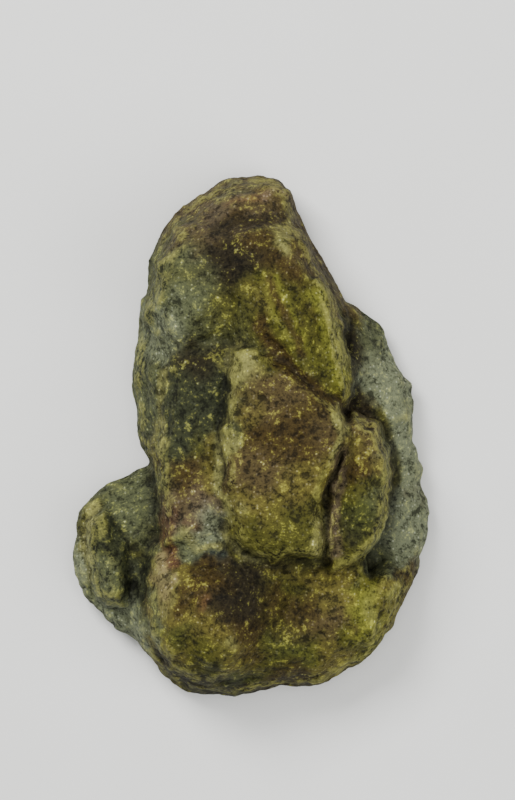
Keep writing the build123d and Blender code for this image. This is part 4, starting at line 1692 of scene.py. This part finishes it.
@dataclass
class ScrewSet:
    """Five countersunk screws with a cross recess and a rolled thread."""

    spots: tuple
    face: float = 2.8  # height of the heads' faces, which look down
    head: float = 2.9  # radius
    head_deep: float = 1.5
    crest: float = 1.5  # radius over the thread
    root: float = 1.12  # radius between its turns
    pitch: float = 1.15
    length: float = 12.0
    point: float = 2.4  # length of the tip
    chamfer: tuple[float, float] = (0.02, 0.12)  # of the head's edge: up the screw, and across
    neck: float = 0.5  # between the head and the thread
    turn_step: float = 0.14  # between the thread's rings
    steep: float = 3.2  # how fast the thread's ridge falls away, for each turn
    recess: tuple[float, float, float] = (3.2, 0.8, 1.0)  # across, wide, deep
    sharp: float = 38.0  # edges that turn further than this look sharp, in degrees
    around: int = 32

    def build(self, finish: bpy.types.Material) -> bpy.types.Object:
        """Builds the screws as one piece.

        Each is a grid of heights and angles. The head's radius shrinks in a straight line from
        its edge to the crest. The shank's is the root plus a ridge whose phase is height over
        pitch less the turn, and both shrink to nothing over the point.

        Args:
            finish: their material.

        Returns:
            The finished piece.
        """
        low, inset = self.chamfer
        rises = np.array([low, inset, self.head_deep, self.head_deep + self.neck])
        radii = np.array([self.head - inset, self.head, self.crest, self.root])
        shank = np.arange(self.head_deep + self.neck + 0.1, self.length, self.turn_step)
        turn = 2 * math.pi * np.arange(self.around) / self.around
        phase = (shank[:, None] / self.pitch - turn[None, :] / (2 * math.pi)) % 1
        ridge = np.clip(1 - self.steep * np.abs(phase - 0.5), 0, 1)
        taper = np.clip((self.length - shank) / self.point, 0, 1)[:, None]
        thread = taper * (self.root + (self.crest - self.root) * ridge)
        radius = np.vstack([np.repeat(radii[:, None], self.around, axis=1), thread])
        up = np.concatenate([rises, shank])
        points, faces = [], []
        for x, y in self.spots:
            first = len(points) * (len(up) * self.around + 2)
            ring = np.stack([
                x + radius * np.cos(turn), y + radius * np.sin(turn),
                np.repeat(self.face + up[:, None], self.around, axis=1),
            ], axis=-1).reshape(-1, 3)
            poles = [[x, y, self.face], [x, y, self.face + self.length]]
            points.append(np.vstack([poles, ring]))
            number = first + 2 + np.arange(len(up) * self.around).reshape(len(up), self.around)
            faces += band(number[1:], number[:-1])
            faces += fan(first, number[0][::-1]) + fan(first + 1, number[-1])
        piece = mesh_piece("base_screws_plated", np.vstack(points), faces, finish)
        self._recess(piece)
        piece.data.set_sharp_from_angle(angle=math.radians(self.sharp))
        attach(piece, "rock")
        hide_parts("base_screws")
        return piece

    def _recess(self, piece: bpy.types.Object) -> None:
        """Sinks a cross in each head, turned as each screw happened to stop.

        Args:
            piece: the screws.
        """
        across, wide, deep = self.recess
        a, b = across / 2, wide / 2
        cross = np.array([
            (a, -b), (a, b), (b, b), (b, a), (-b, a), (-b, b),
            (-a, b), (-a, -b), (-b, -b), (-b, -a), (b, -a), (b, -b),
        ])
        corners = len(cross)
        points, faces = [], []
        turns = np.random.default_rng(Seed.RECESS).uniform(0, math.pi / 2, len(self.spots))
        for number, ((x, y), turn) in enumerate(zip(self.spots, turns)):
            cos, sin = math.cos(turn), math.sin(turn)
            plan = cross @ np.array([[cos, sin], [-sin, cos]]) + (x, y)
            for height in (self.face - 0.5, self.face + deep):
                points.append(np.hstack([plan, np.full((corners, 1), height)]))
            low = 2 * corners * number + np.arange(corners)
            high = low + corners
            faces += [low[::-1].tolist(), high.tolist()] + band(high, low)
        tool = mesh_piece("recess_cutter", np.vstack(points), faces, piece.data.materials[0])
        subtract(piece, tool)


@dataclass
class KeyPad:
    """A foam pad stuck under the key box's roof, crowned on the side that faces the keys."""

    corner: float = 3.0
    crown: float = 0.45  # how far its edge draws back from the crown
    pinch: float = 0.35  # how far its sides pull in
    rings: int = 14  # over the top, and again underneath
    side_rings: int = 5
    around: int = 96
    eye: float = 0.06  # share of the size at which the innermost ring lies

    def build(self, finish: bpy.types.Material) -> bpy.types.Object:
        """Builds the pad from its rounded outline, drawn in along a profile.

        The profile runs from the middle of the top out to the edge, in by a half sine down the
        side, and back under to the middle, with the crown's cosine added underneath.

        Args:
            finish: its material.

        Returns:
            The finished piece.
        """
        low, high = (np.array(corner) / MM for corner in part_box("key_pad"))
        middle, half = (low + high) / 2, (high - low) / 2
        turn = 2 * math.pi * (np.arange(self.around) + 0.5) / self.around
        ways = np.stack([np.cos(turn), np.sin(turn)], axis=1)
        straight = half[:2] - self.corner
        outline = np.clip(ways * half.max() * 2, -straight, straight) + self.corner * ways
        share = np.linspace(self.eye, 1, self.rings)
        side = np.linspace(0, 1, self.side_rings + 2)[1:-1]
        pinched = 1 - self.pinch / half[0] * np.sin(math.pi * side)
        scale = np.concatenate([share, pinched, share[::-1]])
        rise = np.concatenate([
            np.full(self.rings, high[2]),
            high[2] - side * (high[2] - low[2] - self.crown),
            low[2] + self.crown * (1 - np.cos(share[::-1] * math.pi / 2)),
        ])
        rings = np.concatenate([
            middle[:2] + scale[:, None, None] * outline,
            np.repeat(rise[:, None, None], self.around, axis=1),
        ], axis=2).reshape(-1, 3)
        points = np.vstack([[*middle[:2], high[2]], rings, [*middle[:2], low[2]]])
        number = 1 + np.arange(len(rings)).reshape(len(scale), self.around)
        faces = band(number[:-1], number[1:])
        faces += fan(0, number[0]) + fan(len(points) - 1, number[-1][::-1])
        piece = mesh_piece("key_pad_foam", points, faces, finish)
        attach(piece, "rock")
        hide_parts("key_pad")
        return piece


@dataclass
class Base:
    """What closes the rock underneath: plate, gasket, key box, pad, screws, anchors and door."""

    spots: tuple
    arrow_middle: tuple[float, float, float] = (3.0, -21.4, 1.2)  # of the floor of the arrow
    arrow_half: tuple[float, float, float] = (4.6, 7.1, 0.05)

    def build(self, frame: dict) -> list[bpy.types.Object]:
        """Builds every piece of the base.


        Returns:
            The pieces.
        """
        black_abs = MouldedPlastic("abs_base", "#2b2c2a", 0.52)
        grey_abs = MouldedPlastic("abs_door", "#3d3f3c", 0.46)
        polypropylene = MouldedPlastic("polypropylene_box", "#353835", 0.42, ior=1.49)
        nylon = MouldedPlastic("nylon_anchor", "#cfc8b4", 0.38)
        gasket = Moulding("base_gasket", "base_gasket_foam", "rock", "gasket_foam", 0.22).build(
            frame, Foam("polyethylene_gasket", "#3b3d3f").material()
        )
        frame["nodes"]["screw_anchors"].material_slots[0].material = nylon.material()
        door = Moulding("sliding_door", "sliding_door_abs", "door", "door_plastic", 0.2).build(
            frame, grey_abs.material()
        )
        self._ink(door, MouldedPlastic("pad_printed_ink", "#b9b6a6", 0.6).material())
        return [
            gasket,
            Moulding("base_plate", "base_plate_abs", "rock", "base_plastic", 0.22).build(
                frame, black_abs.material()
            ),
            Moulding("key_box", "key_box_moulded", "rock", "box_plastic", 0.25).build(
                frame, polypropylene.material()
            ),
            door,
            KeyPad().build(Foam("polyethylene_pad", "#55585a").material()),
            ScrewSet(self.spots).build(PlatedSteel().material()),
        ]

    def _ink(self, door: bpy.types.Object, ink: bpy.types.Material) -> None:
        """Inks the floor of the arrow sunk in the door, which points the way it slides.

        Args:
            door: the finished door.
            ink: the arrow's material.
        """
        mesh = door.data
        middles = np.zeros(len(mesh.polygons) * 3, np.float32)
        mesh.polygons.foreach_get("center", middles)
        off = np.abs(middles.reshape(-1, 3) / MM - np.array(self.arrow_middle))
        mesh.materials.append(ink)
        inked = (off < np.array(self.arrow_half)).all(axis=1)
        mesh.polygons.foreach_set("material_index", inked.astype(np.int32))
        mesh.update()


# ---------------------------------------------------------------- studio


@dataclass
class Studio:
    """A pale floor, soft lights and a camera straight above the rock."""

    middle: tuple[float, float] = (1.8, 10.1)  # under the middle of the picture
    frame_high: float = 224.0  # how much of the plan the picture's height takes in
    frame_level: float = 8.0  # at this height
    distance: float = 1600.0
    sensor: float = 36.0
    floor: float = 3000.0  # half its width
    floor_tones: tuple[str, str] = ("#d6d6d2", "#dcdcd9")
    sky: str = "#e8ebee"
    sky_strength: float = 0.35
    lights: tuple = (  # name, place, width and watts
        ("key", (-420, 520, 900), 420, 17.0),
        ("fill", (620, -260, 700), 700, 7.0),
        ("top", (0, 0, 1300), 900, 10.0),
    )

    def build(self) -> None:
        """Builds the floor, the lights, the sky and the camera."""
        self._floor()
        for light in self.lights:
            self._light(*light)
        world = bpy.data.worlds.new("studio")
        world.use_nodes = True
        colour, strength = world.node_tree.nodes["Background"].inputs[:2]
        colour.default_value, strength.default_value = linear(self.sky), self.sky_strength
        bpy.context.scene.world = world
        self._camera()

    def _floor(self) -> None:
        """A wide matt floor at ground level."""
        material, tree = new_material("studio_floor")
        place = add_node(tree, "TexCoord", out="Object")
        noise = add_node(tree, "TexNoise", {"Vector": place, "Scale": per_mm(40)})
        dark, pale = map(linear, self.floor_tones)
        tone = add_node(tree, "Mix", {0: noise, 6: dark, 7: pale}, **COLOUR_MIX)
        shader = add_node(tree, "BsdfPrincipled", {"Base Color": tone, "Roughness": 0.85})
        add_node(tree, "OutputMaterial", {"Surface": shader})
        corners = self.floor * np.array([[-1, -1, 0], [1, -1, 0], [1, 1, 0], [-1, 1, 0]])
        floor = mesh_piece("studio_floor", corners, [[0, 1, 2, 3]], material)

    @staticmethod
    def _light(name: str, place: tuple, size: float, power: float) -> None:
        """Adds a square soft light that looks at the rock.

        Args:
            name: the light's name.
            place: where it hangs.
            size: its width.
            power: in watts.
        """
        lamp = bpy.data.lights.new(name, "AREA")
        lamp.size, lamp.energy = size * MM, power
        light = bpy.data.objects.new(name, lamp)
        light.location = Vector(place) * MM
        light.rotation_euler = (-light.location).to_track_quat("-Z", "Y").to_euler()
        bpy.context.scene.collection.objects.link(light)

    def _camera(self) -> None:
        """A long lens that looks straight down."""
        lens = bpy.data.cameras.new("view")
        lens.sensor_fit, lens.sensor_width = "AUTO", self.sensor
        lens.lens = self.sensor * (self.distance - self.frame_level) / self.frame_high
        camera = bpy.data.objects.new("view", lens)
        camera.location = Vector((*self.middle, self.distance)) * MM
        bpy.context.scene.collection.objects.link(camera)
        bpy.context.scene.camera = camera


def main() -> None:
    """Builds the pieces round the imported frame."""
    logging.basicConfig(level=logging.INFO, format="%(name)s: %(message)s")
    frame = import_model()
    rock = RockShell().build(frame)
    for piece in [rock, *Base(SCREW_SPOTS).build(frame)]:
        LOG.info("%s has %d faces", piece.name, len(piece.data.polygons))
    Studio().build()


if __name__ == "__main__":
    main()
